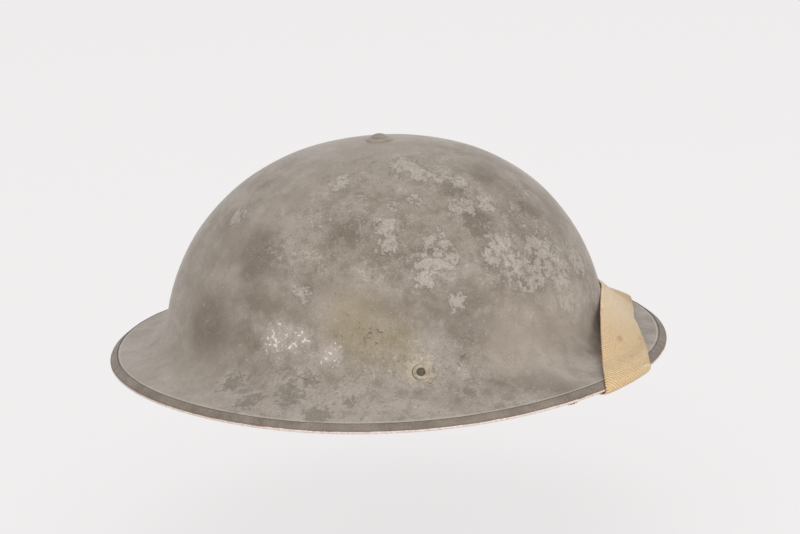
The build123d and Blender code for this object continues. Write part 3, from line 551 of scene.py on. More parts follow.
def makeShell():
    # outer rows, the same rows moved in along the normal by the wall, and the edge between
    at = [math.atan2(y / shell["crownSide"], x / shell["crownRear"])
          for (x, y, _), *_ in rivetFrames.values()]
    angle = crowded(shell["columns"], at, *shell["crowding"])
    outer = outerRows(angle)
    down = np.gradient(outer, axis=0)
    around = np.roll(outer, -1, 1) - np.roll(outer, 1, 1)
    normal = unit(np.cross(down, around))
    normal = normal * np.sign((normal * (outer - [0, 0, -60])).sum(-1, keepdims=True))
    x, y, z = (outer[..., k] / 1000 for k in range(3))
    # slow waves of the pressed sheet, faded out at the top hole, the edge and the rivets
    wave = (np.sin(31 * x + 17 * y + 1.3) * np.cos(23 * z - 29 * y) + 0.6 * np.sin(67 * x - 41 * z + 0.4)
            * np.sin(53 * y + 2.1) + 0.35 * np.sin(118 * x + 0.7) * np.cos(97 * y + 88 * z))
    rows = len(outer)
    lipStart = rows - shell["lipRows"] - 1
    row = np.arange(rows)
    fade = smooth(row / shell["fadeRows"]) * smooth((lipStart - row) / shell["fadeRows"])
    offset = wave * shell["unevenness"] * fade[:, None]
    away = [np.linalg.norm(outer - origin, axis=-1) for origin, *_ in rivetFrames.values()]
    near, width = shell["clearOfRivet"]
    for far in away:
        offset = offset * smooth((far - near) / width)
    offset = np.minimum(offset, shell["highest"])
    for far in away:
        offset -= rivet["dishDepth"] * (1 - smooth((far - rivet["head"]) / (rivet["dish"] - rivet["head"])))
    # under the rivet's pit the outer face alone goes down, so that it stays below the pit's floor
    sunk = offset.copy()
    near, width = rivet["underReach"]
    for far in away:
        sunk -= rivet["under"] * (1 - smooth((far - near) / width))
    moved = outer + normal * sunk[..., None]
    inner = outer + normal * (offset[..., None] - shell["wall"])
    points = np.concatenate([moved, inner[::-1]])
    flat = points.reshape(-1, 3)
    values = {key: spots(flat, places) for key, places in wear.items()}
    values["inside"] = np.repeat(np.arange(2 * rows) >= rows, shell["columns"]).astype(float)
    brim = np.zeros(2 * rows)
    late, width = shell["brimFade"]
    brim[:rows] = smooth((np.arange(rows) - shell["crownRows"] - late) / width)
    values["brim"] = np.repeat(brim, shell["columns"])
    distance = np.zeros_like(outer[..., 0])
    distance[1:] = np.cumsum(np.linalg.norm(np.diff(outer, axis=0), axis=-1), 0)
    toEdge = distance[-1] - distance
    values["seam"] = np.concatenate([toEdge, toEdge[::-1]]).ravel()
    values["halo"] = np.zeros(len(flat))
    for origin, *_ in rivetFrames.values():
        values["halo"] = np.maximum(values["halo"], 1 - np.linalg.norm(flat - origin, axis=1) / rivet["halo"])
    piece = makeMesh("shellSkin", points, [gridFaces(2 * rows, shell["columns"], rowsClose=True)], values,
                     sharp=50)
    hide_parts("shell")
    return piece


paint = dict(base="908578", shade="766a5c", light="a79c91", pale="b3a9a0", brim="aba198", darkFine="6b5f51",
             flake="b0a69b", bare="c4bbb1", olive="6c6251", plate="857b6f", chalk="e6dfd9",
             chalkHalo="bcb2a9", ochre="92835f", crack="4a4032", sand="bfb094", inside="6d6558",
             insideShade="5a5245", speck="5a4f42", fleck="cdc4ba", seam="352d22", pore="4f4538",
             oliveHalo="b3a8a0", bloom="b3a799", lipLine="c0b6ac", sheen=0.35)


def shellPaint():
    # layers of drab paint: slow shades, speckle, ragged flakes at the worn places, cracks, chalk and tints
    f = Finish("shellPaint", 0.5, **{
        "Specular IOR Level": 0.5, "Sheen Weight": paint["sheen"], "Sheen Roughness": 0.35,
        "Sheen Tint": (1.0, 0.93, 0.91, 1)})
    times, plus, minus, centred = f.times, f.plus, f.minus, f.centred
    slow, middle, fine = f.noise(11, 3), f.noise(70, 5, 0.62), f.noise(420, 5, 0.68)
    tiny, crust, patch = f.noise(1000, 4, 0.7), f.noise(260, 8, 0.7), f.noise(120, 9, 0.68)
    rough = f.step(f.read("rough"), 0.0, 0.55, 0.3, 1.0)
    f.colour = f.blend(f.step(slow, 0.35, 0.68), paint["base"], paint["shade"])
    f.lay(f.step(middle, 0.42, 0.72, 0, 0.55), paint["light"])
    f.lay(f.step(f.noise(26, 5, 0.65), 0.52, 0.68, 0, 0.4), paint["pale"])
    f.lay(times(f.read("brim"), f.step(middle, 0.3, 0.7, 0.15, 0.6)), paint["brim"])
    # darker patches: mostly a darker tone of the paint, with painted shade in the hollow low on the crown at
    # the front, near side
    dark = f.step(plus(centred(middle, 0.9), f.read("dark")), 0.1, 0.7, 0, 0.75)
    f.lay(dark, paint["darkFine"])
    f.lay(f.step(f.read("ochre"), 0.0, 0.9, 0, 0.5), paint["ochre"])
    # map-like patches one shade lighter or darker with crisp shores, all over the worn places
    shore = times(f.step(patch, 0.515, 0.535), rough)
    f.lay(shore, paint["light"], 0.28)
    deep = times(f.step(patch, 0.455, 0.44), rough)
    f.lay(deep, paint["speck"], 0.26)
    # flakes: the spot's field plus ragged noise, broken into small bits, with a dark rim on their shore
    field = plus(f.read("flake"), centred(f.noise(210, 9, 0.72), 2.4))
    flake = f.step(field, 0.40, 0.46)
    stray = f.step(plus(crust, centred(middle, 0.5)), 0.60, 0.615)
    bits = f.step(crust, 0.44, 0.48, 0.25, 1.0)
    flakes = times(f.calc("MAXIMUM", flake, times(times(stray, rough), 0.75)), bits)
    rim = f.calc("MAXIMUM", times(f.step(field, 0.30, 0.37), f.step(field, 0.42, 0.38)),
                 times(flake, f.step(crust, 0.45, 0.42)))
    f.lay(rim, paint["speck"], 0.4)
    f.lay(flakes, f.blend(f.step(tiny, 0.42, 0.6), paint["flake"], paint["bare"]), 0.5)
    # olive crust low on the brim, eaten into by the fine noise
    oliveField = plus(plus(f.read("olive"), centred(f.noise(330, 9, 0.78), 3.2)), centred(tiny, 2.6))
    f.lay(f.step(f.read("olive"), 0.0, 0.5, 0, 0.5), paint["oliveHalo"])
    olive = f.step(oliveField, 0.5, 0.56)
    f.lay(olive, paint["olive"], 0.72)
    plate = f.step(plus(f.read("plate"), centred(f.noise(90, 6, 0.6), 0.9)), 0.36, 0.38)
    f.lay(plate, paint["plate"], 0.8)
    # chalky marks: a soft halo with sharp irregular flecks
    f.lay(f.step(plus(f.read("chalk"), centred(fine, 1.2)), 0.15, 0.8, 0, 0.5), paint["chalkHalo"])
    chalk = f.step(plus(f.read("chalk"), centred(f.noise(520, 4, 0.62), 5.0)), 1.05, 1.2)
    f.lay(chalk, paint["chalk"], 0.85)
    # a sandy halo where the paint round the rivet was rubbed
    halo = f.step(plus(f.read("halo"), centred(f.noise(330, 7, 0.75), 2.6)), 0.34, 0.6)
    f.lay(halo, paint["sand"], 0.6)
    # fine speckle of the textured paint: dark pores, pale grains
    low = times(f.step(tiny, 0.44, 0.34), f.step(middle, 0.3, 0.65, 0.5, 1.0))
    f.lay(times(low, rough), paint["pore"], 0.62)
    high = times(f.step(tiny, 0.56, 0.66), f.step(middle, 0.35, 0.65, 0.3, 1.0))
    f.lay(times(high, rough), paint["fleck"], 0.55)
    grit = times(f.step(f.cells(560), 0.2, 0.1), f.step(fine, 0.5, 0.6))
    f.lay(grit, paint["fleck"], 0.5)
    # short cracks, mostly level, where the paint has crazed
    shaken = f.node("ShaderNodeTexNoise", {"Vector": f.object, "Scale": 160.0}).outputs["Color"]
    bend = f.blend(0.01, f.object, shaken)
    line = f.step(f.cells(150, "DISTANCE_TO_EDGE", place=f.scaled(bend, (0.55, 0.55, 1.9))), 0.04, 0.012)
    zone = f.step(plus(f.read("crack"), centred(f.noise(300, 4, 0.6), 1.2)), 0.2, 0.45)
    cracks = times(times(line, zone), f.step(crust, 0.5, 0.56))
    f.lay(cracks, paint["crack"], 0.55)
    # painted light: a paler patch low on the crown towards the rear, where light falls brightly on the hollow
    f.lay(f.step(f.read("glow"), 0.0, 0.75), paint["bloom"], 0.4)
    # painted shade in the seam along the strip, and a thin pale line just above it on the lip's crease
    seam = f.read("seam")
    seamShade = times(f.step(seam, 5.15, 4.95), f.step(f.read("inside"), 0.6, 0.4))
    lipLine = times(f.step(seam, 5.0, 5.3), f.step(seam, 6.4, 5.6))
    f.lay(lipLine, paint["lipLine"], 0.45)
    f.lay(seamShade, paint["seam"], 0.7)
    inner = f.blend(f.step(fine, 0.3, 0.7), paint["inside"], paint["insideShade"])
    f.lay(f.read("inside"), inner, 0.75)
    height = plus(times(fine, 0.6), times(tiny, 0.35))
    height = plus(height, times(times(crust, rough), 0.9))
    height = minus(height, times(f.calc("MAXIMUM", flakes, olive), 0.35))
    height = minus(height, times(cracks, 0.6))
    height = plus(height, middle)
    return f.done(f.step(fine, 0.3, 0.7, 0.44, 0.58), f.bump(height, 0.00042, 0.85))


dress(makeShell(), shellPaint())
print("shell made")


strip = dict(width=4.5, halfEdge=0.6, nose=1.0, joint=0.5, stations=720, bendDeg=84.0, bendSteps=13,
             meanRadius=150.0, paint="877c70", shade="6d6256", rubbedHighlight="f4e6de", dull="d8c4ba", seamShade="3a3228",
             pale="968b80", brown="74584c", grain="4d4338")


def makeStrip():
    # a folded section carried along the edge's own frames, a little wavy where it was rolled by hand
    joint = strip["joint"] / shell["rimLength"]
    angle = np.linspace(joint, 2 * np.pi - joint, strip["stations"])
    origin, outward, normal = edgeFrame(angle)
    turn = np.radians(np.linspace(strip["bendDeg"], -strip["bendDeg"], strip["bendSteps"]))
    w, n, h = strip["width"], strip["nose"], strip["halfEdge"]
    outer = circle(n, turn)
    inner = circle(h, turn[::-1])
    top = [(-w + 0.05, h + 0.02), (-w - 0.06, h + 0.2), (-w + 0.1, n - 0.03), (-w + 0.5, n),
           (-w * 0.7, n + 0.02), (-w * 0.3, n + 0.02)]
    under = [(-w * 0.3, -n), (-w * 0.7, -n), (-w + 0.4, -n), (-w, -n + 0.1), (-w, -h - 0.05), (-w + 0.3, -h)]
    section = np.concatenate([top, outer, under, inner, [(-w * 0.5, h)]])
    s = angle * strip["meanRadius"]
    wave = 0.10 * np.sin(s / 7.3) + 0.08 * np.sin(s / 3.1 + 1) + 0.05 * np.sin(s / 1.7 + 2)
    section = np.repeat(section[None], len(angle), 0)
    free = np.arange(section.shape[1]) < 4
    section[:, free, 0] += wave[:, None]
    section[:, 3:6, 1] += 0.04 * np.sin(s / 4.1)[:, None]
    along = np.broadcast_to(s[:, None], section.shape[:2])
    place = np.stack([along, section[..., 0], section[..., 1]], -1)
    piece = sweep("rimStrip", origin, outward, normal, section, {"place": place}, sharp=50)
    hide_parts("rim_strip")
    return piece


def stripPaint():
    # the same drab, browner, with painted shade along its inner edge, and a bright line along the fold's
    # lowest line: rubbed metal, painted near white as a highlight
    f = Finish("stripPaint", 0.5, **{"Specular IOR Level": 0.5})
    middle, fine = f.noise(110, 6, 0.68), f.noise(600, 4, 0.65)
    f.colour = f.blend(f.step(middle, 0.35, 0.7), strip["paint"], strip["shade"])
    f.lay(f.step(f.noise(45, 4), 0.5, 0.75, 0, 0.5), strip["pale"])
    _, out, up = f.parts("place")
    ragged = f.calc("MULTIPLY_ADD", f.minus(f.noise(90, 7, 0.72), 0.5), 1.1, out)
    # brown just above the bright line, then the line itself on the nose: rubbed metal with a painted
    # highlight
    f.lay(f.step(ragged, -0.9, 0.15), strip["brown"], 0.6)
    rubbedHighlight = f.times(f.step(ragged, 0.30, 0.55), f.step(up, -0.75, -0.5))
    chips = f.step(f.noise(300, 6, 0.7), 0.64, 0.67)
    rubbedHighlight = f.calc("MAXIMUM", rubbedHighlight, f.times(chips, 0.5))
    f.lay(rubbedHighlight, f.blend(f.step(fine, 0.3, 0.7), strip["rubbedHighlight"], strip["dull"]), 0.92)
    # painted shade along the strip's inner edge, in the seam against the shell
    f.lay(f.step(out, -4.25, -4.5), strip["seamShade"], 0.6)
    f.lay(f.step(f.noise(1300, 3, 0.7), 0.45, 0.65, 0, 0.3), strip["grain"])
    height = f.plus(f.times(fine, 0.5), f.times(rubbedHighlight, -0.5))
    rough = f.minus(0.55, f.times(rubbedHighlight, 0.15))
    return f.done(rough, f.bump(height, 0.0003, 0.6))


dress(makeStrip(), stripPaint())
print("edging strip made")


crown = dict(base=121.45, cup=7.6, cupTop=122.85, hole=2.6, head=4.2, headTop=124.85, slot=0.6,
             slotDepth=0.14, shank=2.5, low=106.95)


def makeCup():
    # a pressed washer: a thin skirt, a long soft shoulder and a flat seat for the screw's head
    b, t, r = crown["base"], crown["cupTop"], crown["cup"]
    outline = [(crown["hole"], b), (5.2, b), (6.6, b - 0.1), (r - 0.1, b - 0.3), (r, b - 0.22),
               (r - 0.05, b + 0.12), (r - 0.35, b + 0.5), (6.6, b + 0.88), (5.8, b + 1.16), (5.1, b + 1.33),
               (4.7, t), (4.3, t + 0.02), (crown["hole"], t)]
    piece = lathe("crownCup", outline, upright, 64, lambda turn: 0.012 * np.sin(3 * turn + 1), sharp=45)
    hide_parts("crown_cup")
    return piece


def makeScrew():
    # a low domed head on its shank; its slot is nearly filled with paint, so it is only a shallow groove
    t, top, r = crown["cupTop"], crown["headTop"], crown["head"]
    rising, foot = np.linspace(0, np.pi / 2, 15)[:-1], t + 0.1
    dome = [(r * math.cos(a), foot + (top - foot) * math.sin(a) ** 0.9) for a in rising]
    outline = np.array([(0, crown["low"]), (1.6, crown["low"]), (2.3, crown["low"] + 0.5),
                        (crown["shank"], crown["low"] + 0.9), (crown["shank"], t - 0.1), (r - 0.1, t - 0.1),
                        (r, t + 0.02), *dome, (0, top)])
    ripple = lambda turn: 0.012 * np.sin(2 * turn) + 0.01 * np.sin(7 * turn)
    piece = lathe("crownScrew", outline, upright, 96, ripple, sharp=60)
    p = np.zeros(len(piece.data.vertices) * 3)
    piece.data.vertices.foreach_get("co", p)
    p = p.reshape(-1, 3) / mm
    groove = (1 - smooth((np.abs(p[:, 1]) - crown["slot"] * 0.5) / 0.35)) * (p[:, 2] > t + 0.4)
    p[:, 2] -= groove * crown["slotDepth"] * smooth((p[:, 2] - t - 0.4) / 0.8)
    piece.data.vertices.foreach_set("co", (p * mm).ravel())
    piece.data.update()
    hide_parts("crown_screw")
    return piece


def makeRivet(name, node, axisFrame):
    # a rubbed flat head with a deep pit, its shank and the closed head under the lug
    seat = 0.05 - rivet["sink"]
    top = seat + rivet["headHeight"]
    tail = -(rivet["lugSeat"] + rivet["lugThickness"] + 0.05)
    pit, head, closed, low = rivet["pit"], rivet["head"], rivet["tail"], tail - rivet["tailHeight"]
    outline = [(0, low), (2.0, low), (3.6, tail - 0.95), (closed, tail - 0.4), (closed, tail),
               (rivet["shank"], tail), (rivet["shank"], seat), (head, seat), (head, top - 0.34),
               (head - 0.14, top - 0.2), (head - 0.5, top - 0.1), (3.5, top - 0.02), (3.0, top),
               (pit + 0.35, top - 0.02), (pit + 0.08, top - 0.12), (pit - 0.08, top - 0.35),
               (pit - 0.3, top - 0.75), (1.4, top - rivet["pitDepth"] + 0.08),
               (0.7, top - rivet["pitDepth"]), (0, top - rivet["pitDepth"])]
    ripple = lambda turn: 0.02 * np.sin(2 * turn + 0.6) + 0.014 * np.sin(5 * turn)
    piece = lathe(name, outline, axisFrame, 64, ripple, sharp=45)
    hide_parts(node)
    return piece


rivetTones = dict(base="ab9f8d", shade="978a76", grain="c6bba8", pore="6f6351", seamShade="4c4131", pit="40372a",
                  pitLight="5c5140")


def rivetPaint():
    # rubbed sandy drab; painted shade fills the pit and an arc of the head's seam
    f = Finish("rivetPaint", 0.5)
    fine, coarse = f.noise(620, 5, 0.7), f.noise(240, 4, 0.6)
    f.colour = f.blend(f.step(coarse, 0.38, 0.62), rivetTones["base"], rivetTones["shade"])
    f.lay(f.step(fine, 0.5, 0.62, 0, 0.75), rivetTones["grain"])
    f.lay(f.step(fine, 0.42, 0.34, 0, 0.6), rivetTones["pore"])
    x, y, _ = f.parts("place")
    ragged = f.centred(f.noise(500, 4, 0.7), 0.9)
    reach = f.calc("SQRT", f.plus(f.times(x, x), f.times(y, y)))
    reach = f.plus(reach, ragged)
    # painted shade in the seam's gap, on its upper front quarter only
    quarter = f.step(f.minus(f.times(f.calc("ABSOLUTE", y), 0.5), x), -2.0, 3.0)
    seam = f.times(f.step(reach, 3.9, 4.5), f.calc("MULTIPLY_ADD", quarter, 0.62, 0.04))
    f.lay(seam, rivetTones["seamShade"])
    # painted shade in the pit
    pit = f.step(reach, rivet["pit"] + 0.35, rivet["pit"] - 0.2)
    f.lay(pit, f.blend(f.step(fine, 0.35, 0.65), rivetTones["pit"], rivetTones["pitLight"]), 0.92)
    return f.done(None, f.bump(fine, 0.0003, 0.7))


def wornSteel(name, light="8f897f", dark="4a443b", rust="6e4a2c", metal=0.7, rough=(0.35, 0.6), scale=320):
    # dull steel: a mottle of two greys with patches of brown rust
    f = Finish(name)
    mottle, fine = f.noise(scale * 0.4, 5, 0.65), f.noise(scale * 2, 4, 0.65)
    f.colour = f.blend(f.step(mottle, 0.35, 0.68), light, dark)
    rusty = f.step(f.plus(mottle, f.times(fine, 0.4)), 0.72, 0.86)
    f.lay(rusty, rust, 0.75)
    plain = f.times(f.minus(1.0, rusty), metal)
    return f.done(f.step(fine, 0.3, 0.7, *rough), f.bump(fine, 0.00015, 0.5), plain)


def plainPaint(name, base, shade, chip, scale=260, rough=0.5, chips=0.68):
    # brushed paint with a slow shade, grains and small chips
    f = Finish(name, rough)
    middle, fine = f.noise(scale * 0.35, 4, 0.6), f.noise(scale * 2, 4, 0.65)
    f.colour = f.blend(f.step(middle, 0.35, 0.7), base, shade)
    chipped = f.step(f.noise(scale, 6, 0.7), chips, chips + 0.04)
    f.lay(chipped, chip, 0.8)
    height = f.minus(f.times(fine, 0.5), f.times(chipped, 0.6))
    return f.done(None, f.bump(height, 0.0002, 0.6))


cupPaint = plainPaint("cupPaint", "988d80", "82776a", "b9aea2", 340, 0.42)
dress(makeCup(), cupPaint)
dress(makeScrew(), cupPaint)
for side, axisFrame in rivetFrames.items():
    dress(makeRivet("lugRivet" + side.capitalize(), "lug_rivet_" + side, axisFrame), rivetPaint())
darkSteel = wornSteel("nutSteel")
for name in ("crown_washer", "crown_nut"):
    dress(nodes[name], darkSteel)
print("fastenings made")


loop = dict(reach=11.0, restDeg=38.0, lugReach=10.5, knuckleDepth=1.6 + 1.5 + 0.05 + 1.2, wire=1.5)
strap = dict(width=26.0, thickness=1.6, layerGap=0.3, crossFront=43.5, crossRear=26.0, foldGap=0.7,
             leanHeight=34.0, leanDeg=50.0, leanEase=1.9, leanGap=0.7, softGap=0.3, twistStart=5.0,
             twistEnd=27.0, stitchedTail=24.0, runningTail=62.0, rows=21, step=0.375, toothPitch=1.5,
             tooth=0.45, sag=1.4, droop=6.5, droopAt=13.0, droopReach=9.0, crumple=1.1, bulge=3.0, blurs=14,
             flare=8.0, ringSteps=17, runSteps=70, slackFrom=40.0, foldSteps=13, joinSteps=12, overSteps=90,
             climb=1.3)


def loopFrame(side):
    # hinge axis place, direction to the far bar and the wire's direction
    origin, xWay, _, zWay = rivetFrames[side]
    rest = math.radians(loop["restDeg"])
    hinge = origin + xWay * loop["lugReach"] - zWay * loop["knuckleDepth"]
    towards = xWay * math.cos(rest) - zWay * math.sin(rest)
    normal = zWay * math.cos(rest) + xWay * math.sin(rest)
    return hinge, towards, np.cross(normal, towards)


def foldFrames(side):
    # the rim's frames under the strap, one for each of its rows
    turns = np.radians(np.linspace(strap["crossFront"], strap["crossRear"], strap["rows"]))
    return edgeFrame(turns * (-1 if side == "left" else 1))


def strapRun(side):
    # far bar, direction and length of the run under the brim, and the selvedges' ends at the fold
    hinge, towards, wire = loopFrame(side)
    bar = hinge + towards * loop["reach"]
    middle, _, normal = foldFrames(side)
    ends = middle - normal * (shell["nose"] + strap["foldGap"] + strap["thickness"] + strap["layerGap"] / 2)
    way = (ends[0] + ends[-1]) / 2 - bar
    return bar, unit(way), np.linalg.norm(way), ends, wire * np.sign(wire[1]) * (-1 if side == "left" else 1)


def underFrames(side, distance):
    # middle, width direction and normal along the run: it untwists from the loop's bar to the rim
    bar, run, _, ends, wire = strapRun(side)
    share = smooth((distance - strap["twistStart"]) / (strap["twistEnd"] - strap["twistStart"]))[:, None]
    flat = unit(ends[0] - ends[-1])
    flat = unit(flat - run * (flat @ run))
    wire = unit(wire - run * (wire @ run))
    width = unit(mix(wire, flat, share))
    normal = unit(np.cross(run, width))
    normal = normal * np.sign(normal[:, 2:])
    return bar + run * distance[:, None], width, normal


def blur(grid, passes):
    # each inner station moves halfway to its neighbours' middle
    for _ in range(passes):
        grid[1:-1] = grid[1:-1] * 0.5 + (grid[:-2] + grid[2:]) * 0.25
    return grid


def restation(grid, step):
    # stations at even steps along the mean length, each row of points interpolated on its own
    middle = grid.mean(1)
    length = lengthAlong(middle)
    count = int(round(length[-1] / step)) + 1
    at = np.linspace(0, length[-1], count)
    index = np.clip(np.searchsorted(length, at) - 1, 0, len(length) - 2)
    share = ((at - length[index]) / (length[index + 1] - length[index]))[:, None, None]
    return grid[index] * (1 - share) + grid[index + 1] * share, at


def underRows(side, distance, offset):
    # the run's middle moved along its normal, spread over the strap's width
    middle, width, normal = underFrames(side, distance)
    across = np.linspace(0.5, -0.5, strap["rows"])[None, :, None] * strap["width"]
    return (middle + normal * offset[:, None])[:, None] + width[:, None] * across


def strapPath(side):
    # middle surface from the tail's end, back to the bar, round it, along under the brim, over the rim and up
    bar, run, length, ends, _ = strapRun(side)
    layer = (strap["thickness"] + strap["layerGap"]) / 2
    eye = loop["wire"] + strap["softGap"] + strap["thickness"] / 2
    flare = lambda d: layer + (eye - layer) * (1 - smooth(d / strap["flare"]))
    tail = strap["stitchedTail"] if side == "left" else strap["runningTail"]
    d = np.linspace(tail, 0, int(tail / 1.0) + 1)
    back = underRows(side, d, -flare(d))
    turn = np.linspace(-np.pi / 2, -3 * np.pi / 2, strap["ringSteps"])[1:-1]
    middle, width, normal = underFrames(side, np.zeros(1))
    across = np.linspace(0.5, -0.5, strap["rows"])[None, :, None] * strap["width"]
    ring = bar + eye * (np.cos(turn)[:, None] * run + np.sin(turn)[:, None] * normal)
    ring = ring[:, None] + width[:, None] * across
    straight = length - np.linalg.norm(ends[0] - ends[-1]) / 2
    d = np.linspace(0, straight, strap["runSteps"])
    sag = strap["sag"] * np.sin(np.pi * np.clip(d / length, 0, 1)) ** 2 if side == "left" else 0 * d
    under = underRows(side, d, flare(d) - sag)
    # slack hangs below the rim just before the fold, most at the front selvedge
    slack = strap["droop"] * np.exp(-((straight - strap["droopAt"] - d) / strap["droopReach"]) ** 2)
    slack = (slack * smooth(d / strap["slackFrom"]))[:, None]
    slack = slack * np.linspace(1, 0.1, strap["rows"]) * (side == "left")
    row = np.linspace(0, 1, strap["rows"])
    crumple = strap["crumple"] * np.sin(d[:, None] * 1.15 + 2.5 * row) * (slack / strap["droop"])
    under[..., 2] -= slack + np.abs(crumple)
    outwards = unit((ends[0] + ends[-1]) / 2 * (1, 1, 0))
    under += outwards * ((slack / strap["droop"]) * (strap["bulge"] + crumple))[..., None]
    middle, outward, normal = foldFrames(side)
    radius = shell["nose"] + strap["foldGap"] + strap["thickness"] / 2
    turn = np.radians(np.linspace(-90, 90, strap["foldSteps"]))[:, None, None]
    fold = middle + radius * (np.cos(turn) * outward + np.sin(turn) * normal)
    fold[..., 2] -= slack[-1] * 0.6 * np.linspace(1, 0, strap["foldSteps"])[:, None] ** 2
    share = np.linspace(0, 1, strap["joinSteps"])[1:-1, None, None]
    join = mix(under[-1], fold[0], share)
    # over the brim: x, y and z eased on their own from the rim to the crown's rear, clear of the shell
    lean = math.radians(strap["leanDeg"])
    reach = leanReach + strap["leanGap"] + strap["thickness"] / 2 * math.sin(lean)
    row = np.linspace(0, strap["width"], strap["rows"])
    top = np.stack([reach + row * math.cos(lean), 0 * row, strap["leanHeight"] - row * math.sin(lean)], -1)
    share = np.linspace(0, 1, strap["overSteps"])[1:, None] ** strap["climb"]
    x = mix(fold[-1][:, 0], top[:, 0], share ** strap["leanEase"])
    y = mix(fold[-1][:, 1], top[:, 1], share)
    z = mix(fold[-1][:, 2], top[:, 2], np.sin(np.pi / 2 * share) ** strap["climb"])
    clear = shell["nose"] - shell["wall"] / 2 + strap["softGap"] + strap["thickness"] / 2 / math.cos(lean)
    z = np.maximum(z, shellHeight(x, y) + clear)
    over = np.stack([x, y, z], -1)
    return [back, ring, under, join, fold, over]


def leanAt():
    # distance of the crown's rear face from the axis at the strap's height
    p = profile(np.zeros(1))
    down = strap["leanHeight"] - p["centre"][0, 1]
    if down < p["radius"][0] * math.sin(p["start"][0] + 2 * math.pi):
        return float(p["foot"][0, 0] + p["centre"][0, 0] - math.sqrt(max(p["radius"][0] ** 2 - down**2, 0)))
    turn = np.linspace(0.5, 1.57, 4000)
    share, height = wallAt(np.zeros(1), turn)
    return float(p["foot"][0, 0] * np.interp(-strap["leanHeight"], -height, share))


leanReach = leanAt()


def makeStrap():
    # both halves on one smoothed line, then a woven section round each: flat faces and toothed selvedges
    halves = [np.concatenate(strapPath(side)) for side in ("left", "right")]
    joint = len(halves[0]) - 1
    whole = blur(np.concatenate([halves[0], halves[1][::-1][1:]]), strap["blurs"])
    for side in ("left", "right"):
        line = whole[:joint + 1] if side == "left" else whole[joint:][::-1]
        grid, at = restation(line, strap["step"])
        extended = np.concatenate([grid, grid[-2:-3:-1] * (1, -1, 1)])
        along = np.gradient(extended, axis=0)[:-1]
        across = np.gradient(grid, axis=1)
        normal = unit(np.cross(along, across)) * (1 if side == "left" else -1)
        across = unit(across)
        share = np.linspace(0, 1, strap["rows"])
        # thinner at the selvedge, and its weft loops stand out as small teeth
        half = strap["thickness"] / 2 * np.clip(1 - (np.abs(share * 2 - 1)) ** 14, 0.12, 1) ** 0.5
        tooth = strap["tooth"] * np.sin(2 * np.pi * at / strap["toothPitch"])[:, None, None]
        grid[:, :1] -= across[:, :1] * tooth
        grid[:, -1:] += across[:, -1:] * tooth
        columns = 2 * strap["rows"]
        width = np.concatenate([share, share[::-1]]) * strap["width"]
        face = np.concatenate([0 * share, 0 * share + 1])
        place = threes(at[:, None], width[None], face[None])
        fromTop = at[-1] - at
        crossing = foldFrames(side)[0].mean(0)
        fromFold = at - at[np.linalg.norm(grid[40:].mean(1) - crossing, axis=1).argmin() + 40]
        values = {"weave": place.reshape(-1, 3), "fromTop": np.repeat(fromTop, columns),
                  "fromFold": np.repeat(fromFold, columns)}
        piece = bandMesh("chinStrap" + side.capitalize(), grid, normal * half[None, :, None], values,
                         body=None)
        dress(piece, webbing)
        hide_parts("chin_strap")
        bar, run, *_ = strapRun(side)
        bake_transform(piece)


cloth = dict(warp="efcf9d", deeper="e5bf86", shade="9c7642", light="f6e0bd", pale="fbe4c4", thread="d9b67e",
             orange="d9873a", brown="9a6a34", crease="fbf0dc", speck="6e5129", twill=1.3,
             yarn=0.85, stains=[(39, 9.5, 4.5, 2.6, "brown", 0.5), (42, 22.8, 4.5, 2.0, "orange", 0.75),
                                (19, 14.5, 3, 2, "orange", 0.25), (44, 4, 6, 2, "thread", 0.5)])


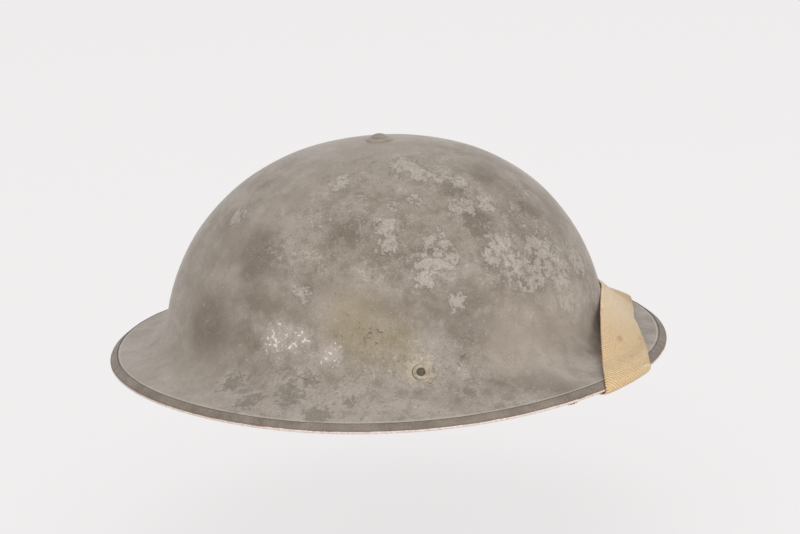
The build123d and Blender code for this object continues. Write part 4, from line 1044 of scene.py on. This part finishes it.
def webbingCloth():
    # twill: slanting ribs along plus across the strap, crossed by yarns, in millimetres of its own run
    f = Finish("webbing", 0.85, **{"Sheen Weight": 0.3, "Sheen Roughness": 0.5})
    times, plus, minus = f.times, f.plus, f.minus
    wave = lambda value, period: f.calc("SINE", times(value, 2 * math.pi / period))
    along, across, _ = f.parts("weave")
    wobble = times(f.noise(300, 3), 0.6)
    slant = plus(times(along, 0.8), plus(across, wobble))
    edge = f.step(f.calc("ABSOLUTE", minus(across, 13.0)), 11.6, 12.2)
    rib = plus(times(wave(slant, cloth["twill"]), minus(1.0, edge)), times(wave(along, 1.5), edge))
    ribHigh = f.calc("MULTIPLY_ADD", rib, 0.5, 0.5)
    yarn = f.calc("MULTIPLY_ADD", wave(plus(across, times(wobble, 0.7)), cloth["yarn"]), 0.5, 0.5)
    knot = f.calc("MULTIPLY_ADD", wave(minus(along, across), 1.7), 0.5, 0.5)
    slow, middle, fine = f.noise(22, 4), f.noise(110, 5, 0.65), f.noise(900, 4, 0.65)
    f.colour = f.blend(f.step(slow, 0.35, 0.7), cloth["warp"], cloth["deeper"])
    f.lay(f.step(middle, 0.45, 0.75), cloth["light"], 0.5)
    top = f.step(f.read("fromTop"), 52.0, 12.0)
    f.lay(f.calc("MULTIPLY_ADD", top, 0.7, 0.15), cloth["pale"])
    strands = f.noise(260, 3, 0.6, place=f.scaled(f.read("weave", "Vector"), (0.0004, 0.008, 0)))
    f.lay(times(f.step(strands, 0.45, 0.7), times(top, 0.6)), cloth["thread"])
    # painted shade in the ribs' grooves, deepest in dark specks where a rib's groove meets the gap between
    # two yarns, strongest in the lower half
    low = minus(1.0, times(top, 0.75))
    groove = times(f.step(ribHigh, 0.5, 0.05), f.calc("MULTIPLY_ADD", knot, 0.5, 0.2))
    f.lay(times(groove, low), cloth["shade"], 0.85)
    speck = times(times(f.step(ribHigh, 0.35, 0.1), f.step(yarn, 0.35, 0.1)),
                  f.step(middle, 0.4, 0.6, 0.4, 1.0))
    f.lay(times(speck, low), cloth["speck"], 0.7)
    # stains, then the pale crease, placed by distance from the fold and from the front selvedge
    fold = f.read("fromFold")
    square = lambda value, place, size: f.calc("POWER", times(minus(value, place), 1 / size), 2.0)
    for a, b, length, width, tint, amount in cloth["stains"]:
        far = f.calc("SQRT", plus(square(fold, a, length), square(across, b, width)))
        f.lay(f.step(plus(far, f.centred(middle, 2.0)), 1.0, 0.3), cloth[tint], amount)
    slope = minus(fold, f.calc("MULTIPLY_ADD", minus(26.0, across), 0.35, 1.8))
    crease = times(f.step(f.calc("ABSOLUTE", slope), 0.55, 0.15), f.step(across, 18.0, 22.0))
    f.lay(crease, cloth["crease"], 0.75)
    f.lay(f.step(fine, 0.4, 0.62, 0, 0.3), cloth["thread"])
    height = plus(times(ribHigh, 0.8), times(yarn, 0.15))
    height = plus(height, plus(times(fine, 0.4), times(knot, 0.25)))
    return f.done(None, f.bump(height, 0.0007, 0.9))


webbing = webbingCloth()
makeStrap()
print("strap made")


def hoopFibre():
    # pressed fibre board: dark red-brown, streaked round the hoop, with fine pale flecks all over
    f = Finish("hoopFibre", 0.55)
    streak = f.noise(40, 5, 0.65, place=f.scaled(f.object, (1, 1, 9)))
    fine = f.noise(700, 4, 0.65)
    f.colour = f.blend(f.step(streak, 0.35, 0.7), "4a2f22", "33211a")
    f.lay(f.step(fine, 0.55, 0.8, 0, 0.5), "6e5240")
    return f.done(f.step(streak, 0.3, 0.7, 0.45, 0.65), f.bump(fine, 0.0002, 0.5))


def blackRubber(name, base="2b2a28"):
    # aged rubber: dull, bloomed grey, with fine cracks
    f = Finish(name, 0.75)
    bloom, fine = f.noise(90, 4, 0.6), f.noise(800, 4, 0.65)
    crack = f.step(f.cells(420, "DISTANCE_TO_EDGE"), 0.06, 0.01)
    f.colour = f.blend(f.step(bloom, 0.4, 0.75), base, "4b4843")
    f.lay(f.times(crack, f.step(bloom, 0.5, 0.65)), "161514")
    height = f.minus(f.times(fine, 0.5), crack)
    return f.done(None, f.bump(height, 0.0002, 0.5))


steels = dict(metal=0.8, rough=(0.3, 0.5))
finishes = [
    (wornSteel("wireSteel", "9a958b", "5d574d", scale=420, **steels),
     ["strap_loop_left", "strap_loop_right"]),
    (wornSteel("slideSteel", "8c877c", "5a544a", metal=0.75, rough=(0.32, 0.55), scale=360), ["strap_slide"]),
    (wornSteel("tipBrass", "a08650", "6b5630", "3e3a26", scale=300, **steels), ["strap_tip"]),
    (plainPaint("lugPaint", "6b6350", "544d3d", "8f8267"), ["lug_left", "lug_right"]),
    (plainPaint("linerSteel", "2f2c28", "24221f", "5d5140", 240, 0.42, 0.66),
     ["liner_arm_long", "liner_arm_cross"]),
    (hoopFibre(), ["head_hoop"]),
    (blackRubber("bufferRubber"), ["buffer_front", "buffer_rear", "buffer_left", "buffer_right",
                                   "crown_spacer"]),
    (wornSteel("rivetBrass", "a48a52", "705a33", "4a4630", 0.85, (0.3, 0.5), 500), ["hoop_rivets"])]
for finish, names in finishes:
    for name in names:
        dress(nodes[name], finish)
print("metal and rubber dressed")


band = dict(halfLength=96.9, halfWidth=76.9, wall=1.0, bottom=23.4, top=58.7, foot=3.7, stations=260)
tongue = dict(count=8, footWidth=52.0, tipWidth=11.0, inset=4.0, foot=59.0, laceLength=27.0, laceWidth=23.0,
              laceHeight=89.25, wall=1.0, hemBore=1.9, hemWall=0.8, rows=40, columns=25, gather=0.55,
              belly=1.2, wrinkle=0.18, sewn=9.0, sewnSteps=7, hemSides=24, hemSteps=17)


def makeBand():
    # an oval band whose outline has a turned-out foot and a bound top edge, slightly puckered
    turn = ringTurns(band["stations"])
    b, t, w = band["bottom"], band["top"], band["wall"]
    outline = np.array([(-0.05, b + 2.2), (-0.25, b + 1.6), (0.2, b + 1.05), (1.2, b + 1.0),
                        (band["foot"], b + 0.95), (band["foot"] + 0.05, b + 0.5), (band["foot"], b + 0.05),
                        (1.0, b), (0.1, b + 0.1), (-0.7, b + 0.6), (-w, b + 1.6), (-w, b + 5), (-w, b + 12),
                        (-w, b + 20), (-w, t - 4.4), (-w - 0.25, t - 3.6), (-w - 0.3, t - 1.5),
                        (-w * 0.6, t), (-0.1, t - 0.05), (0, t - 1), (-0.02, t - 5), (-0.02, b + 20),
                        (-0.02, b + 10)])
    outline[:, 0] += w
    a, c = band["halfLength"], band["halfWidth"]
    centre = np.stack([a * np.cos(turn), c * np.sin(turn), 0 * turn], -1)
    out = unit(np.stack([np.cos(turn) / a, np.sin(turn) / c, 0 * turn], -1))
    section = np.repeat(outline[None], len(turn), 0)
    pucker = 0.12 * np.sin(46 * turn) + 0.1 * np.sin(19 * turn + 1)
    high = smooth((outline[:, 1] - b - 4) / 6) * (outline[:, 0] < 0.1)
    section[..., 0] -= np.abs(pucker)[:, None] * high
    along = turn * (a + c) / 2
    place = threes(along[:, None], outline[None, :, 1] - b, outline[None, :, 0])
    piece = sweep("sweatBand", centre, out, np.tile(rise, (len(turn), 1)), section, {"weave": place},
                  closed=True, sharp=60)
    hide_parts("sweatband")
    return piece


def domePlace(angle, share):
    # the lining's dome: an oval that closes from the band to the lace while it rises
    turn = np.pi / 2 * share
    a = mix(tongue["laceLength"], band["halfLength"] - tongue["inset"], np.cos(turn))
    c = mix(tongue["laceWidth"], band["halfWidth"] - tongue["inset"], np.cos(turn))
    height = mix(tongue["foot"], tongue["laceHeight"], np.sin(turn))
    return threes(a * np.cos(angle), c * np.sin(angle), height)


def makeSleeve(index):
    # the hem that the lace runs through: a soft tube along the tongue's tip, with its bore
    middle, step = 2 * np.pi * (index + 0.5) / tongue["count"], 1e-3
    tip = domePlace(np.array(middle), np.array(1.0))
    way = unit(domePlace(np.array(middle + step), np.array(1.0))
               - domePlace(np.array(middle - step), np.array(1.0)))
    steps, sides = tongue["hemSteps"], tongue["hemSides"]
    reach = np.linspace(-0.5, 0.5, steps)[:, None] * tongue["tipWidth"]
    turn = ringTurns(sides)
    rings = [circle(radius, turn) for radius in (tongue["hemBore"] + tongue["hemWall"], tongue["hemBore"])]
    side = unit(np.cross(way, rise))
    line = tip + reach * way
    ripple = 1 + 0.05 * np.sin(reach * 2.2 + index)[:, None]
    walls = [line[:, None] + s[None, :, :1] * side * ripple + s[None, :, 1:] * rise for s in rings]
    points = np.concatenate(walls).reshape(-1, 3)
    count = steps * sides
    body = gridFaces(steps, sides)
    k = np.arange(sides)
    rim = np.stack([k, (k + 1) % sides, (k + 1) % sides + count, k + count], -1)
    far = rim + (steps - 1) * sides
    faces = [body[:, ::-1], body + count, rim, far[:, ::-1]]
    values = {"weave": np.tile(threes(reach, 2.5 * turn, 3.0).reshape(-1, 3), (2, 1))}
    return makeMesh(f"tongueHem{index + 1}", points, faces, values, sharp=50)


def makeTongue(index):
    # a leaf that narrows along the dome, belly between its edges, gathered in small folds at the lace
    middle = 2 * np.pi * (index + 0.5) / tongue["count"]
    share = np.linspace(0, 0.985, tongue["rows"])[:, None]
    across = np.linspace(-0.5, 0.5, tongue["columns"])[None]
    step = 1e-3
    stride = domePlace(middle + step, share) - domePlace(middle - step, share)
    speed = np.linalg.norm(stride, axis=-1) / (2 * step)
    width = mix(tongue["footWidth"], tongue["tipWidth"], smooth(share) * 0.35 + share * 0.65)
    angle = middle + across * width / speed
    points = domePlace(angle, share)
    level = points * (1 / band["halfLength"] ** 2, 1 / band["halfWidth"] ** 2, 0)
    normal = unit(level + rise * 0.012 * share[..., None])
    fold = np.cos(across * 6 * np.pi + index) * smooth((share - 0.6) / 0.4) * tongue["gather"]
    belly = -tongue["belly"] * np.sin(np.pi * share) * (1 - (2 * across) ** 2)
    wrinkle = tongue["wrinkle"] * np.sin(9 * share * np.pi + 3 * across + index)
    wrinkle = wrinkle * np.cos(5 * across * np.pi + 2 * index)
    points = points + normal * (fold + belly + wrinkle)[..., None]
    # the foot goes on down inside the band, where it is sewn
    down = np.linspace(tongue["sewn"], 0.6, tongue["sewnSteps"])[:, None]
    slide = smooth(1 - down / tongue["sewn"])
    outward = unit(points[0] * (1, 1, 0))
    reach = (tongue["inset"] - 1.6) * (1 - slide[..., None]) * 0.62
    sewn = points[0][None] + outward[None] * reach - down[..., None] * rise
    grid = np.concatenate([sewn, points])
    du, dv = np.gradient(grid, axis=0), np.gradient(grid, axis=1)
    n = unit(np.cross(dv, du))
    n = n * np.sign((n * (grid * (1, 1, 0) + rise * 20)).sum(-1, keepdims=True))
    length = lengthAlong(grid.mean(1))
    wide = np.linalg.norm(grid[:, -1] - grid[:, 0], axis=1)
    u = np.linspace(-0.5, 0.5, tongue["columns"])
    acrossMm = np.concatenate([u, u[::-1]])[None] * wide[:, None]
    toEdge = wide[:, None] / 2 - np.abs(acrossMm)
    place = threes(length[:, None], acrossMm, toEdge)
    piece = bandMesh(f"liningTongue{index + 1}", grid, n * tongue["wall"] / 2 * 0.8,
                     {"weave": place.reshape(-1, 3)})
    area = 0.5 * (tongue["footWidth"] + tongue["tipWidth"]) * (length[-1] - tongue["sewn"])
    area += tongue["footWidth"] * tongue["sewn"]
    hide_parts(f"tongue_{index + 1}")
    return piece, makeSleeve(index)


def oilcloth():
    # coated cloth: near black, a fine weave under a soft gloss, cracked along its creases
    f = Finish("oilcloth", 0.45, **{"Coat Weight": 0.15, "Coat Roughness": 0.35})
    along, across, _ = f.parts("weave")
    warp = f.calc("SINE", f.times(along, 2 * math.pi / 0.9))
    weft = f.calc("SINE", f.times(across, 2 * math.pi / 0.9))
    middle, fine = f.noise(80, 5, 0.65), f.noise(700, 4, 0.65)
    f.colour = f.blend(f.step(middle, 0.35, 0.7), "2e2a26", "211e1b")
    crease = f.step(f.cells(130, "DISTANCE_TO_EDGE", place=f.scaled(f.object, (1, 1, 0.35))), 0.05, 0.01)
    worn = f.times(crease, f.step(middle, 0.45, 0.6))
    f.lay(worn, "5b4c3a", 0.7)
    f.lay(f.step(fine, 0.6, 0.8, 0, 0.4), "4a4138")
    height = f.plus(f.times(f.plus(warp, weft), 0.1), f.times(worn, -0.6))
    return f.done(f.step(middle, 0.3, 0.7, 0.38, 0.6), f.bump(height, 0.0003, 0.6))


liningCloth = oilcloth()
dress(makeBand(), liningCloth)
lace = dict(radius=1.0, ovalShare=0.14, tail=22.0, strands=3, lay=7.0, sides=18, lobe=0.09, sheathed=0.93)


def laceLine(count=420):
    # four tangent arcs: tight at the ends, flat at the sides
    a, b = tongue["laceLength"], tongue["laceWidth"]
    tight = mix(b * b / a, a * a / b, lace["ovalShare"])
    shift = a - tight
    wide = (tight**2 - b**2 - shift**2) / (2 * (tight - b))
    drop = wide - b
    turn = math.atan2(drop, shift)
    arcs = [(shift, 0, tight, 0, turn), (0, -drop, wide, np.pi / 2, np.pi / 2 - turn),
            (-shift, 0, tight, np.pi, turn), (0, drop, wide, 1.5 * np.pi, np.pi / 2 - turn)]
    pieces = []
    for x, y, radius, middle, reach in arcs:
        t = np.linspace(middle - reach, middle + reach, count // 4)[:-1]
        pieces.append(threes(x + radius * np.cos(t), y + radius * np.sin(t), tongue["laceHeight"]))
    return np.concatenate(pieces)


def makeLace():
    # a round laid cord in a closed ring, its knot a small trefoil, and two ends that droop inwards
    def laid(name, line, closed):
        sides = lace["sides"]
        turn = ringTurns(sides)
        length = lengthAlong(line)
        twist = turn[None] + 2 * np.pi * length[:, None] / lace["lay"]
        lobes = 1 + lace["lobe"] * np.cos(lace["strands"] * twist)
        if closed:
            tangent = unit(np.roll(line, -1, 0) - np.roll(line, 1, 0))
        else:
            tangent = unit(np.gradient(line, axis=0))
        us = unit(np.cross(tangent, rise + 1e-3))
        vs = np.cross(tangent, us)
        radius = lace["radius"] * lace["sheathed"] * lobes
        section = circle(radius, turn)
        place = threes(length[:, None], turn[None], lobes)
        return sweep(name, line, us, vs, section, {"weave": place}, closed, sharp=0)
    ring = laid("lacing", laceLine(), True)
    t = np.linspace(0, 2 * np.pi, 121)[:-1]
    knot = np.stack([0.55 * (np.cos(t) + 2 * np.cos(2 * t)) * 0.62, (np.sin(t) - 2 * np.sin(2 * t)) * 0.62,
                     -np.sin(3 * t) * 0.75], -1)
    knot = laid("laceKnot", knot + (tongue["laceLength"] - 0.3, 0, tongue["laceHeight"]), True)
    ends = []
    for side, name in ((-1, "laceEndLeft"), (1, "laceEndRight")):
        s = np.linspace(0, 1, 60)
        lean = unit(np.array([-1, side / 3, 0.25]))
        line = (tongue["laceLength"], 0, tongue["laceHeight"]) + s[:, None] * lace["tail"] * lean
        line[:, 1] += side * 0.7 * np.sin(np.pi * s * 1.5)
        line[:, 2] += 0.8 * np.sin(np.pi * s) - 1.2 * s**2
        ends.append(laid(name, line, False))
    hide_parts("lace")
    return [ring, knot, *ends]


def lacingCord():
    # cotton: pale strands, with painted shade in the grooves between them
    f = Finish("lacingCord", 0.9, **{"Sheen Weight": 0.2})
    _, _, lobes = f.parts("weave")
    fine = f.noise(900, 4, 0.65)
    f.colour = f.blend(f.step(lobes, 0.93, 1.07), "8a7c60", "b9ab8b")
    f.lay(f.step(f.noise(60, 4), 0.5, 0.8, 0, 0.5), "7c6b4c")
    return f.done(None, f.bump(fine, 0.0002, 0.7))


cord = lacingCord()
for piece in makeLace():
    dress(piece, cord)
for index in range(tongue["count"]):
    for piece in makeTongue(index):
        dress(piece, liningCloth)
print("lining made")

pad = dict(radius=30.0, hole=9.5)


def makePad():
    # a felt ring pad: a lathe outline with full rounded sides, its faces a little uneven
    low, high = (v * 1000 for v in (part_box("crown_pad")[0][2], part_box("crown_pad")[1][2]))
    hole, edge = pad["hole"], pad["radius"]
    outline = rounded([(hole, low), (edge - 3, low), (edge, low + 3.4), (edge - 1.2, high - 5.2),
                       (edge - 4, high - 3.6), (20, high - 1.3), (hole, high)], 1.6, 5)
    turn = ringTurns(72)
    radius = outline[:, :1] * (1 + 0.006 * np.sin(5 * turn + 1) + 0.004 * np.sin(11 * turn))
    radius = np.where(outline[:, :1] < hole + 2, outline[:, :1], np.minimum(radius, edge))
    dimple = 0.15 * np.abs(np.sin(3 * turn + outline[:, :1] / 5))
    height = outline[:, 1:] - dimple * (outline[:, 1:] > low + 2)
    points = np.stack([radius * np.cos(turn), radius * np.sin(turn), height], -1)
    piece = makeMesh("crownPad", points, [gridFaces(len(outline), 72, rowsClose=True)], sharp=0)
    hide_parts("crown_pad")
    return piece


def feltCloth():
    # matted fibres: soft mottle and short hairs in every direction
    f = Finish("feltCloth", 0.95, **{"Sheen Weight": 0.4})
    hair = f.noise(500, 6, 0.75, distortion=1.2)
    f.colour = f.blend(f.step(f.noise(60, 4), 0.35, 0.7), "756b5b", "5f5648")
    f.lay(f.step(hair, 0.45, 0.7, 0, 0.6), "978c79")
    return f.done(None, f.bump(hair, 0.0005, 0.8))


dress(makePad(), feltCloth())
print("pad made")


studio = dict(floor=-0.108, size=9.0, shade="f4f2f2", camera=0.9, fill=0.7, even=0.8, aim=(0.0, 0.0, 0.05),
              lamps=[("keyLamp", (-0.7, -1.7, 0.8), 1.6, 9.0), ("fillLamp", (1.2, -1.5, 0.25), 1.2, 13.0),
                     ("topLamp", (0.0, 0.3, 2.2), 2.0, 6.5)])


def makeStudio():
    # a level floor, a pale world and three square lamps that face the middle of the object
    mesh = bpy.data.meshes.new("floor")
    s, z = studio["size"], studio["floor"]
    mesh.from_pydata([(-s, -s, z), (s, -s, z), (s, s, z), (-s, s, z)], [], [(0, 1, 2, 3)])
    floor = bpy.data.objects.new("floor", mesh)
    bpy.context.scene.collection.objects.link(floor)
    f = Finish("floorPaper", 0.9)
    mottle = f.noise(30, 3)
    f.colour = f.blend(f.step(mottle, 0.3, 0.7, 0, 0.3), "efeeed", "f1f0ef")
    f.done()
    # most of what the camera sees of the floor is its own even paper white, so only a faint shadow is left
    glow = f.node("ShaderNodeEmission", {"Color": studio["shade"], "Strength": 1.0})
    view = f.node("ShaderNodeLightPath").outputs["Is Camera Ray"]
    both = f.node("ShaderNodeMixShader", {0: f.times(view, studio["even"])})
    f.tree.links.new(f.shader.outputs[0], both.inputs[1])
    f.tree.links.new(glow.outputs[0], both.inputs[2])
    f.tree.links.new(both.outputs[0], f.tree.nodes["Material Output"].inputs[0])
    floor.data.materials.append(f.material)
    # the world lights the object with its fill, and looks paler to the camera and in mirrors
    world = bpy.data.worlds.new("studio")
    bpy.context.scene.world = world
    world.use_nodes = True
    w = Nodes(world.node_tree)
    ray = w.node("ShaderNodeLightPath").outputs
    seen = w.calc("MAXIMUM", w.calc("MAXIMUM", ray["Is Camera Ray"], ray["Is Glossy Ray"]),
                  ray["Is Transmission Ray"])
    span = {"Value": seen, "To Min": studio["fill"], "To Max": studio["camera"]}
    strength = w.node("ShaderNodeMapRange", span)
    background = w.tree.nodes["Background"].inputs
    w.put(strength.outputs[0], background["Strength"])
    background["Color"].default_value = (1.0, 0.995, 0.99, 1)
    for name, place, size, power in studio["lamps"]:
        data = bpy.data.lights.new(name, "AREA")
        data.shape = "SQUARE"
        data.size, data.energy = size, power
        lamp = bpy.data.objects.new(name, data)
        lamp.location = place
        lamp.rotation_euler = (Vector(studio["aim"]) - Vector(place)).to_track_quat("-Z", "Y").to_euler()
        bpy.context.scene.collection.objects.link(lamp)
    bpy.context.scene.view_settings.view_transform = "Standard"


makeStudio()
print("studio set")
